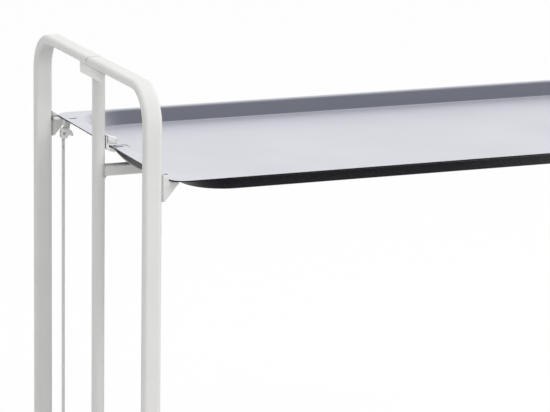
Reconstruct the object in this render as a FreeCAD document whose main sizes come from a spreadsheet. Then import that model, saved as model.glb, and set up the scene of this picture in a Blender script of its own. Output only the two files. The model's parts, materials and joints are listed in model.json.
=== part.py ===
import FreeCAD, Part
import math
import os
import re

import Sketcher

# Room service table: two tubular end frames on castors, joined by two beams, carry a
# pressed sheet-metal tray that lifts off.  Millimetres, +Z up, floor at z = 0,
# +X along the tray, the origin under the middle of the table.

doc = FreeCAD.newDocument("room_service_table")

DIMENSIONS = {
    # tray
    "rim_height": 750, "tray_length": 1000, "tray_width": 537, "tray_corner": 24,
    "sheet": 2, "pan_depth": 22, "wall_run": 24, "end_flat": 26, "pan_corner": 85,
    "pan_blend": 8, "pan_edge": 0.3, "slot_long": 12, "slot_wide": 3.2,
    "slot_inset": 40, "slot_reach": 216, "middle_slot_inset": 36, "middle_slot_reach": 11,
    "near_slot_inset": 34.5, "near_slot_long": 7,
    # grip lip under each end edge
    "lip_y": 100, "lip_half": 92, "lip_depth": 10, "lip_hem": 1.5, "lip_wall": 1.2,
    "lip_thick": 3, "lip_inset": 0.6,
    # end frames
    "end_gap": 26, "leg_spacing": 501, "tube_wide": 30, "tube_thick": 14.5,
    "bend_radius": 56, "seam_gap": 6, "arch_rise": 142, "low_rail": 75,
    "cap_thick": 5.5, "cap_round": 2.5,
    # posts, saddles and beams
    "post_radius": 10, "post_offset": 6, "saddle_long": 100, "saddle_tall": 18,
    "saddle_outer": 7, "saddle_inner": 6.5, "saddle_foot": 2, "saddle_waist": 3,
    "saddle_hip": 7, "saddle_round": 5, "saddle_screw": 30, "screw_depth": 5, "screw_hole": 2,
    "screw_head": 3.6, "screw_dome": 3, "screw_gap": 0.4,
    "beam_side": 17, "beam_wall": 2, "beam_round": 2.5, "beam_drop": 29, "low_beam_top": 160,
    "web_side": 5, "web_thick": 3,
    # tray supports
    "gusset_thick": 5, "gusset_foot": 4.5, "gusset_tall": 33, "gusset_nose": 7,
    "gusset_rise": 8, "gusset_step": 1, "gusset_shoulder": 25.7, "flange_end": 41.5,
    "flange_thick": 3, "flange_wide": 20, "tab_long": 6, "tab_thick": 1.8, "tab_low": 1.2,
    # hanging rods and their clevises
    "rod_radius": 2.6, "rod_long": 480, "rod_x": 25.5, "rod_y": 223, "pivot_drop": 25,
    "rod_flat": 22, "eye_radius": 4.5, "eye_thick": 3, "pin_radius": 1.5, "pin_fit": 0.05,
    "pin_head": 2.8, "pin_end": 1.6,
    "clevis_front": 4.5, "clevis_back": 9, "clevis_deep": 10, "clevis_slit": 4,
    "clevis_top": 16, "clevis_foot": 33, "clevis_round": 2.5, "beak_reach": 16.5,
    "strap_start": 27, "strap_end": 38, "strap_deep": 8,
    # edge clip
    "clip_wide": 10, "clip_y": 3, "clip_back": 17.5, "clip_wall": 2.5, "clip_slit": 0.8,
    "clip_top": 16.5, "clip_nose": 36.6, "clip_nose_top": 12, "clip_gap": 3,
    "clip_mouth": 22.5, "clip_foot": 33, "clip_drop": 10.8, "clip_round": 1,
    # castors
    "castor_y": 172, "wheel_radius": 25, "wheel_wide": 18, "hub_radius": 18,
    "axle_radius": 3, "axle_fit": 0.05, "trail": 18, "fork_inner": 20, "fork_wall": 2.5,
    "crown_top": 68.5, "crown_thick": 3, "crown_radius": 14, "head_radius": 15,
    "kingpin_radius": 4, "stem_radius": 5, "stem_proud": 7, "kingpin_flange": 2.5,
    "race_gap": 0.5, "nut_thick": 5, "nut_corner": 9.25, "pedal_x": 32, "pedal_z": 58,
    "cheek_round": 7, "axle_head": 2, "pedal_wide": 17,
}

sheet = doc.addObject("Spreadsheet::Sheet", "Sizes")
for row, (alias, number) in enumerate(DIMENSIONS.items(), 1):
    sheet.set(f"A{row}", str(number))
    sheet.setAlias(f"A{row}", alias)
doc.recompute()


# ---------------------------------------------------------------- helpers

def bound(text):
    """The expression text with every dimension's name pointing into the sheet."""
    def cell(match):
        word = match.group()
        return "Sizes." + word if word in DIMENSIONS else word
    return re.sub(r"[a-z_]+", cell, str(text))


def value(text):
    """The number that an expression text gives now."""
    return float(sheet.evalExpression(bound(text)))


def bind(feature, name, text):
    feature.setExpression(name, bound(text))


def new_body(label):
    body = doc.addObject("PartDesign::Body", label)
    body.Label = label
    return body


def new_sketch(body, role, lift="0"):
    """A sketch on one of the body's own origin planes, moved along the plane's normal."""
    sketch = body.newObject("Sketcher::SketchObject", body.Name + "_sketch")
    plane = next(f for f in body.Origin.OriginFeatures if f.Role == role)
    sketch.AttachmentSupport = [(plane, "")]
    sketch.MapMode = "FlatFace"
    bind(sketch, "AttachmentOffset.Base.z", lift)
    return sketch


def pin_down(sketch, geometry, point, x, y):
    """Hold one point of a sketch element at two expressions from the sketch origin."""
    for kind, text in (("DistanceX", x), ("DistanceY", y)):
        number = sketch.addConstraint(
            Sketcher.Constraint(kind, -1, 1, geometry, point, value(text)))
        bind(sketch, f"Constraints[{number}]", text)


def hold_radius(sketch, geometry, text):
    number = sketch.addConstraint(Sketcher.Constraint("Radius", geometry, value(text)))
    bind(sketch, f"Constraints[{number}]", text)


def outline(sketch, corners):
    """A closed outline of straight lines through the corners, given as expressions."""
    points = [FreeCAD.Vector(value(x), value(y), 0) for x, y in corners]
    first = sketch.GeometryCount
    count = len(points)
    for i, point in enumerate(points):
        sketch.addGeometry(Part.LineSegment(point, points[(i + 1) % count]))
    for i, (x, y) in enumerate(corners):
        following = first + (i + 1) % count
        sketch.addConstraint(Sketcher.Constraint("Coincident", first + i, 2, following, 1))
        pin_down(sketch, first + i, 1, x, y)


def rectangle(sketch, left, right, low, high):
    outline(sketch, [(left, low), (right, low), (right, high), (left, high)])


def circle(sketch, x, y, radius):
    centre = FreeCAD.Vector(value(x), value(y), 0)
    number = sketch.addGeometry(
        Part.Circle(centre, FreeCAD.Vector(0, 0, 1), value(radius)))
    pin_down(sketch, number, 3, x, y)
    hold_radius(sketch, number, radius)


def round_outline(sketch, x, y, half_x, half_y, radius):
    """A rectangle about (x, y) with four equal round corners."""
    cx, cy, hx, hy, r = (value(text) for text in (x, y, half_x, half_y, radius))
    first = sketch.GeometryCount
    for i, (sx, sy) in enumerate(((1, 1), (-1, 1), (-1, -1), (1, -1))):
        centre = FreeCAD.Vector(cx + sx * (hx - r), cy + sy * (hy - r), 0)
        round_line = Part.Circle(centre, FreeCAD.Vector(0, 0, 1), r)
        start = i * math.pi / 2
        sketch.addGeometry(Part.ArcOfCircle(round_line, start, start + math.pi / 2))
        pin_down(sketch, first + i, 3, f"{x} + {sx} * ({half_x} - ({radius}))",
                 f"{y} + {sy} * ({half_y} - ({radius}))")
        hold_radius(sketch, first + i, radius)
    for i in range(4):
        leaving = sketch.Geometry[first + i].EndPoint
        arriving = sketch.Geometry[first + (i + 1) % 4].StartPoint
        if leaving.distanceToPoint(arriving) > 1e-6:
            line = sketch.addGeometry(Part.LineSegment(leaving, arriving))
            following = first + (i + 1) % 4
            sketch.addConstraint(Sketcher.Constraint("Tangent", first + i, 2, line, 1))
            sketch.addConstraint(Sketcher.Constraint("Tangent", line, 2, following, 1))


def obround(sketch, x, y, half_long, radius):
    """Two half circles about (x, y), joined by lines along the sketch's X."""
    cx, cy, half, r = (value(text) for text in (x, y, half_long, radius))
    normal = FreeCAD.Vector(0, 0, 1)
    right = Part.Circle(FreeCAD.Vector(cx + half - r, cy, 0), normal, r)
    left = Part.Circle(FreeCAD.Vector(cx - half + r, cy, 0), normal, r)
    quarter = math.pi / 2
    a = sketch.addGeometry(Part.ArcOfCircle(right, -quarter, quarter))
    b = sketch.addGeometry(Part.ArcOfCircle(left, quarter, 3 * quarter))
    upper = sketch.addGeometry(Part.LineSegment(
        FreeCAD.Vector(cx + half - r, cy + r, 0), FreeCAD.Vector(cx - half + r, cy + r, 0)))
    lower = sketch.addGeometry(Part.LineSegment(
        FreeCAD.Vector(cx - half + r, cy - r, 0), FreeCAD.Vector(cx + half - r, cy - r, 0)))
    pin_down(sketch, a, 3, f"{x} + ({half_long}) - ({radius})", y)
    pin_down(sketch, b, 3, f"{x} - ({half_long}) + ({radius})", y)
    hold_radius(sketch, a, radius)
    hold_radius(sketch, b, radius)
    for one, end, other, start in ((a, 2, upper, 1), (upper, 2, b, 1),
                                   (b, 2, lower, 1), (lower, 2, a, 1)):
        sketch.addConstraint(Sketcher.Constraint("Tangent", one, end, other, start))


def round_segment(sketch, y, z, radius, half):
    """A circular arc that sags below its chord, centred above the point (y, z)."""
    cy, cz, r, reach = (value(text) for text in (y, z, radius, half))
    centre = FreeCAD.Vector(cy, cz, 0)
    sweep = math.asin(reach / r)
    bow = Part.Circle(centre, FreeCAD.Vector(0, 0, 1), r)
    down = -math.pi / 2
    arc = sketch.addGeometry(Part.ArcOfCircle(bow, down - sweep, down + sweep))
    chord = sketch.addGeometry(Part.LineSegment(sketch.Geometry[arc].EndPoint,
                                                sketch.Geometry[arc].StartPoint))
    pin_down(sketch, arc, 3, y, z)
    hold_radius(sketch, arc, radius)
    sketch.addConstraint(Sketcher.Constraint("Coincident", arc, 2, chord, 1))
    sketch.addConstraint(Sketcher.Constraint("Coincident", chord, 2, arc, 1))
    sketch.addConstraint(Sketcher.Constraint("Horizontal", chord))
    number = sketch.addConstraint(
        Sketcher.Constraint("DistanceX", arc, 1, arc, 2, 2 * reach))
    bind(sketch, f"Constraints[{number}]", f"2 * ({half})")


def feature(body, kind, sketch, **settings):
    made = body.newObject("PartDesign::" + kind, body.Name + "_" + kind.lower())
    made.Profile = sketch
    for name, setting in settings.items():
        if isinstance(setting, str) and name in ("Length", "TaperAngle"):
            bind(made, name, setting)
        else:
            setattr(made, name, setting)
    body.Tip = made
    doc.recompute()
    return made


def pad(body, sketch, length, **settings):
    return feature(body, "Pad", sketch, Length=length, **settings)


def cut(body, sketch, length, **settings):
    """A pocket, checked to take material away."""
    before = body.Shape.Volume
    made = feature(body, "Pocket", sketch, Length=length, **settings)
    if body.Shape.Volume > before - 0.01:
        raise RuntimeError(body.Label + ": a pocket cuts nothing")
    return made


def turned(body, sketch, **settings):
    """A full turn of a sketch about the body's Z axis."""
    axis = next(f for f in body.Origin.OriginFeatures if f.Role == "Z_Axis")
    return feature(body, "Revolution", sketch, ReferenceAxis=(axis, [""]), **settings)


def rounded(body, radius, wanted):
    """A fillet on the edges of the body's last feature that the test picks."""
    doc.recompute()
    base = body.Tip
    names = [f"Edge{i}" for i, edge in enumerate(base.Shape.Edges, 1) if wanted(edge)]
    made = body.newObject("PartDesign::Fillet", body.Name + "_fillet")
    made.Base = (base, names)
    bind(made, "Radius", radius)
    body.Tip = made
    doc.recompute()
    return made


def runs_along(edge, direction):
    """Whether an edge is straight and parallel to X, Y or Z."""
    if not isinstance(edge.Curve, (Part.Line, Part.LineSegment)):
        return False
    start, end = edge.Vertexes[0].Point, edge.Vertexes[-1].Point
    step = end - start
    return abs(abs(getattr(step, direction)) - step.Length) < 1e-6


def put(thing, x, y, z, turn=0, axis=(0, 0, 1)):
    """Place a piece at three expressions, turned about an axis."""
    thing.Placement = FreeCAD.Placement(
        FreeCAD.Vector(), FreeCAD.Rotation(FreeCAD.Vector(*axis), turn))
    for name, text in (("x", x), ("y", y), ("z", z)):
        bind(thing, "Placement.Base." + name, text)


def group(label, pieces):
    """One node that holds several identical small pieces."""
    compound = doc.addObject("Part::Compound", label)
    compound.Label = label
    compound.Links = pieces
    return compound


nodes = []

# Both end frames are the same piece of work, the right one turned half a turn, so a place
# on an end frame is given as seen on the left one, with x inboard from its leg plane.
ENDS = (("left", 1), ("right", -1))
FRAME_X = "(tray_length / 2 + end_gap)"


def put_at_end(thing, way, x, y, z):
    put(thing, f"{way} * (({x}) - {FRAME_X})", f"{way} * ({y})", z, 0 if way == 1 else 180)


def side_name(way, sign):
    """Near is the -Y side of the table, far the +Y side."""
    return "far" if way * sign > 0 else "near"


# ---------------------------------------------------------------- tray

def make_tray():
    """Flat sheet with a pressed pan whose long walls run out to the tray's edges."""
    body = new_body("tray")
    plate = new_sketch(body, "XY_Plane", "-sheet")
    round_outline(plate, "0", "0", "tray_length / 2", "tray_width / 2", "tray_corner")
    pad(body, plate, "sheet")

    lip = "sheet * 1.2"
    mouth_x = "tray_length / 2 - end_flat"
    mouth_y = "tray_width / 2 - pan_edge"

    def pan_level(lift, inset):
        level = new_sketch(body, "XY_Plane", lift)
        round_outline(level, "0", "0", f"{mouth_x} - ({inset})", f"{mouth_y} - ({inset})",
                      f"pan_corner - ({inset})")
        return level

    outer_top = pan_level("0", "0")
    outer_low = pan_level("-(pan_depth + sheet)", "wall_run")
    feature(body, "AdditiveLoft", outer_top, Sections=[outer_low], Ruled=True)
    rounded(body, "pan_blend + sheet",
            lambda edge: edge.BoundBox.ZMax < -value("pan_depth"))
    inner_top = pan_level("0", lip)
    inner_low = pan_level("-pan_depth", f"wall_run + {lip}")
    feature(body, "SubtractiveLoft", inner_top, Sections=[inner_low], Ruled=True)
    level_z = -value("pan_depth")
    rounded(body, "pan_blend", lambda edge: abs(edge.BoundBox.ZMax - level_z) < 1e-6
            and abs(edge.BoundBox.ZMin - level_z) < 1e-6)

    slots = new_sketch(body, "XY_Plane", "1")
    for way in (1, -1):
        for inset, reach, long in (
                ("slot_inset", "slot_reach", "slot_long"),
                ("near_slot_inset", "-slot_reach", "near_slot_long"),
                ("middle_slot_inset", "-middle_slot_reach", "slot_long")):
            obround(slots, f"{way} * ({inset} - {FRAME_X})", f"{way} * ({reach})",
                    f"{long} / 2", "slot_wide / 2")
    cut(body, slots, "2 * sheet")
    put(body, "0", "0", "rim_height")
    return body


def make_grip_lip(label):
    """Bowed lip under the end edge: a thin apron with a thicker hem along its bow."""
    body = new_body(label)
    bow = "(lip_half * lip_half + lip_depth * lip_depth) / (2 * lip_depth)"
    centre = f"{bow} - lip_depth - sheet"
    start = "end_gap + lip_inset"
    hem = new_sketch(body, "YZ_Plane", start)
    round_segment(hem, "-lip_y", centre, bow, "lip_half")
    pad(body, hem, "lip_thick")
    inner = f"({bow} - lip_hem)"
    apron = new_sketch(body, "YZ_Plane", start)
    round_segment(apron, "-lip_y", centre, inner,
                  f"sqrt({inner} * {inner} - ({centre} + sheet) * ({centre} + sheet))")
    cut(body, apron, "lip_thick - lip_wall", Reversed=True)
    return body


# ---------------------------------------------------------------- end frames

def make_wing(label):
    """Half of an end frame: one length of flat-oval tube bent to a square C."""
    body = new_body(label)
    spine = new_sketch(body, "YZ_Plane")
    foot = "low_rail + tube_thick / 2"
    top = "rim_height + arch_rise - tube_thick / 2"
    leg = "leg_spacing / 2"
    turn = f"{leg} - bend_radius"
    stops = [("seam_gap", foot), (turn, foot), (leg, f"{foot} + bend_radius"),
             (leg, f"{top} - bend_radius"), (turn, top), ("seam_gap", top)]
    points = [FreeCAD.Vector(value(y), value(z), 0) for y, z in stops]
    for start in (0, 2, 4):
        line = spine.addGeometry(Part.LineSegment(points[start], points[start + 1]))
        pin_down(spine, line, 1, *stops[start])
        pin_down(spine, line, 2, *stops[start + 1])
    for before, centre_z, angle in ((0, f"{foot} + bend_radius", -math.pi / 2),
                                    (1, f"{top} - bend_radius", 0)):
        bend = Part.Circle(FreeCAD.Vector(value(turn), value(centre_z), 0),
                           FreeCAD.Vector(0, 0, 1), value("bend_radius"))
        arc = spine.addGeometry(Part.ArcOfCircle(bend, angle, angle + math.pi / 2))
        spine.addConstraint(Sketcher.Constraint("Coincident", before, 2, arc, 1))
        spine.addConstraint(Sketcher.Constraint("Coincident", arc, 2, before + 1, 1))
        hold_radius(spine, arc, "bend_radius")

    section = new_sketch(body, "XZ_Plane", "-seam_gap")
    obround(section, "0", "low_rail + tube_thick / 2", "tube_wide / 2", "tube_thick / 2")
    feature(body, "AdditivePipe", section, Spine=(spine, [""]))

    stem = new_sketch(body, "XY_Plane")
    circle(stem, "0", "castor_y", "stem_radius")
    cut(body, stem, "low_rail + 2 * tube_thick", Reversed=True)
    return body


def make_rail_cap(label, height):
    """Rounded plug that closes one end of the tube at the seam."""
    body = new_body(label)
    face = new_sketch(body, "XZ_Plane", "-seam_gap")
    obround(face, "0", height, "tube_wide / 2", "tube_thick / 2")
    pad(body, face, "cap_thick")
    seam = value("seam_gap - cap_thick")
    rounded(body, "cap_round", lambda edge: abs(edge.BoundBox.YMax - seam) < 1e-6
            and abs(edge.BoundBox.YMin - seam) < 1e-6)
    return body


def make_saddle(label):
    """Casting under both rail ends, sloped inboard, with a notch that takes the post."""
    body = new_body(label)
    side = new_sketch(body, "YZ_Plane", "-saddle_outer")
    rectangle(side, "-saddle_long / 2", "saddle_long / 2", "-saddle_tall", "0")
    pad(body, side, "saddle_outer + saddle_inner")
    rounded(body, "saddle_round", lambda edge: runs_along(edge, "x")
            and edge.BoundBox.ZMax < -1e-6)
    slope = new_sketch(body, "XZ_Plane")
    outline(slope, [("saddle_foot - saddle_outer", "-2 * saddle_tall"),
                    ("saddle_foot - saddle_outer", "-saddle_tall"),
                    ("saddle_waist - saddle_outer", "-0.63 * saddle_tall"),
                    ("saddle_hip - saddle_outer", "-screw_depth"),
                    ("2 * saddle_inner", "-screw_depth"),
                    ("2 * saddle_inner", "-2 * saddle_tall")])
    cut(body, slope, "2 * saddle_long", SideType="Symmetric")
    notch = new_sketch(body, "XY_Plane", "-saddle_tall")
    circle(notch, "post_offset", "0", "post_radius")
    cut(body, notch, "saddle_tall", Reversed=True)
    shank = new_sketch(body, "XY_Plane")
    for sign in (1, -1):
        circle(shank, "0", f"{sign} * saddle_screw", "screw_hole")
    cut(body, shank, "saddle_tall")
    counterbore = new_sketch(body, "XY_Plane", "-screw_depth")
    for sign in (1, -1):
        circle(counterbore, "0", f"{sign} * saddle_screw", "screw_head + screw_gap")
    cut(body, counterbore, "saddle_tall")
    return body


def make_post(label):
    """Round centre post from the foot rail to the top rail."""
    post = doc.addObject("Part::Cylinder", label)
    post.Label = label
    bind(post, "Radius", "post_radius")
    bind(post, "Height", "rim_height + arch_rise - low_rail - 2 * tube_thick")
    return post


def make_beam(label):
    """Square tube along the table, coped at both ends to sit against the posts."""
    body = new_body(label)
    half = "beam_side / 2"
    section = new_sketch(body, "YZ_Plane")
    round_outline(section, "0", "0", half, half, "beam_round")
    pad(body, section, f"2 * ({FRAME_X} - post_offset)", SideType="Symmetric")
    bore = new_sketch(body, "YZ_Plane")
    round_outline(bore, "0", "0", f"{half} - beam_wall", f"{half} - beam_wall",
                  "beam_round / 2")
    cut(body, bore, f"2 * {FRAME_X}", SideType="Symmetric")
    cope = new_sketch(body, "XY_Plane")
    for sign in (1, -1):
        circle(cope, f"{sign} * ({FRAME_X} - post_offset)", "0", "post_radius")
    cut(body, cope, "2 * beam_side", SideType="Symmetric")
    return body


def make_beam_web(label):
    """Small triangular web in the corner under a beam."""
    body = new_body(label)
    side = new_sketch(body, "XZ_Plane")
    outline(side, [("0", "0"), ("web_side", "0"), ("0", "-web_side")])
    pad(body, side, "web_thick", SideType="Symmetric")
    return body


def add_peg(body, sign, start, end, root):
    """Ear under the tray, from a bracket's root to the slot, with a peg up into it."""
    reach = f"{sign} * (slot_reach - tab_thick / 2)"
    ear = new_sketch(body, "XY_Plane", "-sheet")
    rectangle(ear, start, end, reach, f"{sign} * ({root})")
    pad(body, ear, "flange_thick", Reversed=True)
    peg = new_sketch(body, "XY_Plane", "-sheet - flange_thick")
    rectangle(peg, start, end, reach, f"{sign} * (slot_reach + tab_thick / 2)")
    pad(body, peg, "sheet + flange_thick - tab_low")


def make_gusset(label, sign):
    """Bracket on the leg: a tapered web under a flange that carries the tray."""
    body = new_body(label)
    web = new_sketch(body, "XZ_Plane", f"{-sign} * leg_spacing / 2")
    outline(web, [
        ("tube_wide / 2", "gusset_rise"), ("tube_wide / 2", "-gusset_tall"),
        ("tube_wide / 2 + gusset_foot", "-gusset_tall"), ("flange_end", "-gusset_nose"),
        ("flange_end", "-sheet"), ("gusset_shoulder", "-sheet"),
        ("gusset_shoulder", "gusset_step")])
    pad(body, web, "gusset_thick", SideType="Symmetric")
    outer = "leg_spacing / 2 + gusset_thick / 2"
    inner = f"{outer} - flange_wide"
    flange = new_sketch(body, "XY_Plane", "-sheet")
    rectangle(flange, "tube_wide / 2", "flange_end", f"{sign} * ({inner})",
              f"{sign} * ({outer})")
    pad(body, flange, "flange_thick", Reversed=True)
    if sign == -1:
        add_peg(body, sign, "near_slot_inset - tab_long / 2",
                "near_slot_inset + tab_long / 2", inner)
    return body


# ---------------------------------------------------------------- fittings

def make_screw(label):
    """Screw with a domed head, its shank up from z = 0 and its head below."""
    body = new_body(label)
    half = new_sketch(body, "XZ_Plane")
    outline(half, [("0", "screw_depth"), ("screw_hole", "screw_depth"),
                   ("screw_hole", "0"), ("screw_head", "0"),
                   ("screw_head", "-0.45 * screw_dome"),
                   ("0.6 * screw_head", "-screw_dome"), ("0", "-screw_dome")])
    turned(body, half)
    return body


def make_edge_clip(label):
    """Moulded clip round the tray's end edge: a slit spine, an upper and a lower jaw."""
    body = new_body(label)
    side = new_sketch(body, "XZ_Plane")
    slit = "clip_back + clip_wall"
    floor = "clip_gap + 1.5"
    outline(side, [
        ("clip_back", "-clip_gap"), ("clip_back", "clip_top - 2"),
        ("clip_back + 1.5", "clip_top"), (slit, "clip_top"), (slit, floor),
        (f"{slit} + clip_slit", floor), (f"{slit} + clip_slit", "clip_top"),
        ("clip_nose", "clip_nose_top"), ("clip_nose", "clip_gap"),
        ("clip_mouth + 1", "clip_gap"), ("clip_mouth", "clip_gap - 1"),
        ("clip_mouth", "-sheet"), ("clip_foot", "-sheet"), ("clip_foot", "-clip_drop"),
        ("clip_foot - 6", "1.5 - clip_drop"), ("clip_back + 2", "4.8 - clip_drop")])
    pad(body, side, "clip_wide", SideType="Symmetric")
    nose = value("clip_foot") - 1
    rounded(body, "clip_round", lambda edge: runs_along(edge, "y")
            and (edge.BoundBox.XMin > nose or edge.BoundBox.ZMax < -value("clip_gap") - 1))
    return body


def make_clevis(label):
    """Bracket pegged into a tray slot, with a slit block that holds the rod's pin."""
    body = new_body(label)
    block = new_sketch(body, "XZ_Plane", "-rod_y")
    back, tip = "rod_x + clevis_back", "rod_x + beak_reach"
    outline(block, [
        ("rod_x - clevis_front", "-clevis_top"),
        ("rod_x - clevis_front", "clevis_round - clevis_foot"),
        ("rod_x - clevis_front + clevis_round", "-clevis_foot"),
        ("rod_x + clevis_front", "-clevis_foot"), (back, "-pivot_drop - 2"),
        (f"{tip} - 4", "-pivot_drop - 4.5"), (tip, "-pivot_drop - 3.5"),
        (f"{tip} - 3.5", "4.5 - pivot_drop"), (back, "7 - pivot_drop"),
        (back, "-clevis_top")])
    pad(body, block, "clevis_deep", SideType="Symmetric")
    slit = new_sketch(body, "XZ_Plane", "-rod_y")
    rectangle(slit, "rod_x - 2 * clevis_front", "rod_x + 2 * beak_reach",
              "-2 * clevis_foot", "eye_radius + 1 - pivot_drop")
    cut(body, slit, "clevis_slit", SideType="Symmetric")
    strap = new_sketch(body, "XZ_Plane", "-rod_y")
    outline(strap, [("strap_start", "-sheet"), ("strap_start", "-clevis_top - 1"),
                    (back, "-clevis_top - 1"), ("strap_end", "-sheet")])
    pad(body, strap, "strap_deep", SideType="Symmetric")
    add_peg(body, 1, "strap_end - tab_long / 2", "strap_end + tab_long / 2",
            "rod_y + strap_deep / 2")
    bore = new_sketch(body, "XZ_Plane", "-rod_y")
    circle(bore, "rod_x", "-pivot_drop", "pin_radius")
    cut(body, bore, "2 * clevis_deep", SideType="Symmetric")
    return body


def make_rod_pin(label):
    """Headed pin through the clevis and the rod's eye, riveted over at its far end."""
    body = new_body(label)
    half = new_sketch(body, "XZ_Plane")
    reach = "clevis_deep / 2"
    head = f"-({reach} + pin_end)"
    outline(half, [
        ("0", head), ("0.7 * pin_head", head), ("pin_head", f"{head} + pin_end / 2"),
        ("pin_head", f"-({reach})"), ("pin_radius", f"-({reach})"), ("pin_radius", reach),
        ("1.5 * pin_radius", reach), ("pin_radius", f"{reach} + pin_end"),
        ("0", f"{reach} + pin_end")])
    turned(body, half)
    return body


def make_rod(label):
    """Round rod, flattened to an eye at its top, hanging from its pivot at the origin."""
    body = new_body(label)
    shaft = new_sketch(body, "XY_Plane", "1.5 - eye_radius")
    circle(shaft, "0", "0", "rod_radius")
    pad(body, shaft, "rod_long", Reversed=True)
    tip = -value("rod_long")
    rounded(body, "0.6 * rod_radius", lambda edge: edge.BoundBox.ZMax < tip + 1)
    eye = new_sketch(body, "XZ_Plane")
    circle(eye, "0", "0", "eye_radius")
    pad(body, eye, "eye_thick", SideType="Symmetric")
    cheeks = new_sketch(body, "YZ_Plane")
    for sign in (1, -1):
        rectangle(cheeks, f"{sign} * eye_thick / 2", f"{sign} * 2 * eye_thick",
                  "-rod_flat", "eye_radius")
    cut(body, cheeks, "4 * rod_radius", SideType="Symmetric")
    bore = new_sketch(body, "XZ_Plane")
    circle(bore, "0", "0", "pin_radius + pin_fit")
    cut(body, bore, "2 * eye_thick", SideType="Symmetric")
    return body


# ---------------------------------------------------------------- castors

def make_castor_head(label):
    """Fixed upper half: threaded stem through the rail, raceway cup and kingpin."""
    body = new_body(label)
    half = new_sketch(body, "XZ_Plane")
    under = "crown_top - crown_thick"
    flange = "kingpin_radius + kingpin_flange"
    stem_top = "low_rail + tube_thick + stem_proud"
    outline(half, [
        ("0", f"{under} - kingpin_flange"), (flange, f"{under} - kingpin_flange"),
        (flange, f"{under} - race_gap"), ("kingpin_radius", f"{under} - race_gap"),
        ("kingpin_radius", "crown_top + race_gap"),
        ("head_radius - 2", "crown_top + race_gap"),
        ("head_radius", "crown_top + race_gap + 2"), ("head_radius", "low_rail - 1"),
        ("head_radius - 1", "low_rail"), ("stem_radius", "low_rail"),
        ("stem_radius", stem_top), ("0", stem_top)])
    turned(body, half)
    return body


def make_castor_nut(label):
    """Hexagon nut with a washer face, on top of the rail."""
    body = new_body(label)
    face = new_sketch(body, "XY_Plane")
    outline(face, [(f"nut_corner * cos({60 * i} deg)", f"nut_corner * sin({60 * i} deg)")
                   for i in range(6)])
    circle(face, "0", "0", "stem_radius")
    pad(body, face, "nut_thick")
    return body


def make_fork(label, braked):
    """Swivelling fork: crown plate and two cheeks that lean back to the axle."""
    body = new_body(label)
    side = new_sketch(body, "XZ_Plane")
    under = "crown_top - crown_thick"
    if braked:
        back = [("pedal_x + 6", "pedal_z - 4"), ("pedal_x + 5", "pedal_z + 5"),
                ("crown_radius + 6", f"{under} + 0.5")]
    else:
        back = [("crown_radius + 8", "wheel_radius + 24"),
                ("crown_radius + 3", "crown_top - 4")]
    rim = "cheek_round"
    outline(side, [
        ("-crown_radius", "crown_top"), ("-crown_radius", f"{under} - 1"),
        ("8 - crown_radius", f"{under} - 12"), (f"trail - {rim}", "wheel_radius - 1"),
        (f"trail - {rim} / 2", f"wheel_radius - {rim}"),
        (f"trail + {rim} / 2", f"wheel_radius - {rim}"),
        (f"trail + {rim}", f"wheel_radius - {rim} / 2"),
        (f"trail + {rim}", "wheel_radius + 4")] + back + [("crown_radius", "crown_top")])
    pad(body, side, "fork_inner + 2 * fork_wall", SideType="Symmetric")
    gap = new_sketch(body, "XZ_Plane")
    rectangle(gap, "-3 * crown_radius", "5 * crown_radius", "-1", under)
    cut(body, gap, "fork_inner", SideType="Symmetric")
    hole = new_sketch(body, "XY_Plane", "crown_top + 1")
    circle(hole, "0", "0", "kingpin_radius + axle_fit")
    cut(body, hole, "2 * crown_thick")
    axle = new_sketch(body, "XZ_Plane")
    circle(axle, "trail", "wheel_radius", "axle_radius")
    if braked:
        circle(axle, "pedal_x", "pedal_z", "pin_radius")
    cut(body, axle, "4 * fork_inner", SideType="Symmetric")
    return body


def make_axle(label, radius):
    """Riveted pin across the fork, along Y, with a low domed head at each end."""
    body = new_body(label)
    half = new_sketch(body, "XZ_Plane")
    reach = "(fork_inner / 2 + fork_wall)"
    end = f"({reach} + axle_head)"
    head = f"(1.3 * {radius} + axle_head / 2)"
    outline(half, [
        ("0", f"-{end}"), (f"0.7 * {head}", f"-{end}"),
        (head, f"-{reach} - 0.4 * axle_head"), (head, f"-{reach}"),
        (radius, f"-{reach}"), (radius, reach), (head, reach),
        (head, f"{reach} + 0.4 * axle_head"), (f"0.7 * {head}", end), ("0", end)])
    turned(body, half)
    return body


def make_hub(label):
    """Wheel body with a bore, a dished web and a rim that carries the tyre."""
    body = new_body(label)
    half = new_sketch(body, "XZ_Plane")
    w = "wheel_wide / 2"
    bore = "axle_radius + axle_fit"
    outline(half, [
        (bore, f"-({w})"), ("axle_radius + 4", f"-({w})"), ("axle_radius + 5", "-3"),
        ("hub_radius - 3", "-3"), ("hub_radius - 2", f"1 - ({w})"),
        ("hub_radius", f"1 - ({w})"), ("hub_radius", f"{w} - 1"),
        ("hub_radius - 2", f"{w} - 1"), ("hub_radius - 3", "3"), ("axle_radius + 5", "3"),
        ("axle_radius + 4", w), (bore, w)])
    turned(body, half)
    return body


def make_tyre(label):
    """Rubber tread ring with rounded shoulders."""
    body = new_body(label)
    half = new_sketch(body, "XZ_Plane")
    w = "wheel_wide / 2"
    outline(half, [
        ("hub_radius", f"1 - ({w})"), ("wheel_radius - 3", f"-({w})"),
        ("wheel_radius - 0.8", f"2.5 - ({w})"), ("wheel_radius", f"5 - ({w})"),
        ("wheel_radius", f"{w} - 5"), ("wheel_radius - 0.8", f"{w} - 2.5"),
        ("wheel_radius - 3", w), ("hub_radius", f"{w} - 1")])
    turned(body, half)
    return body


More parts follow.
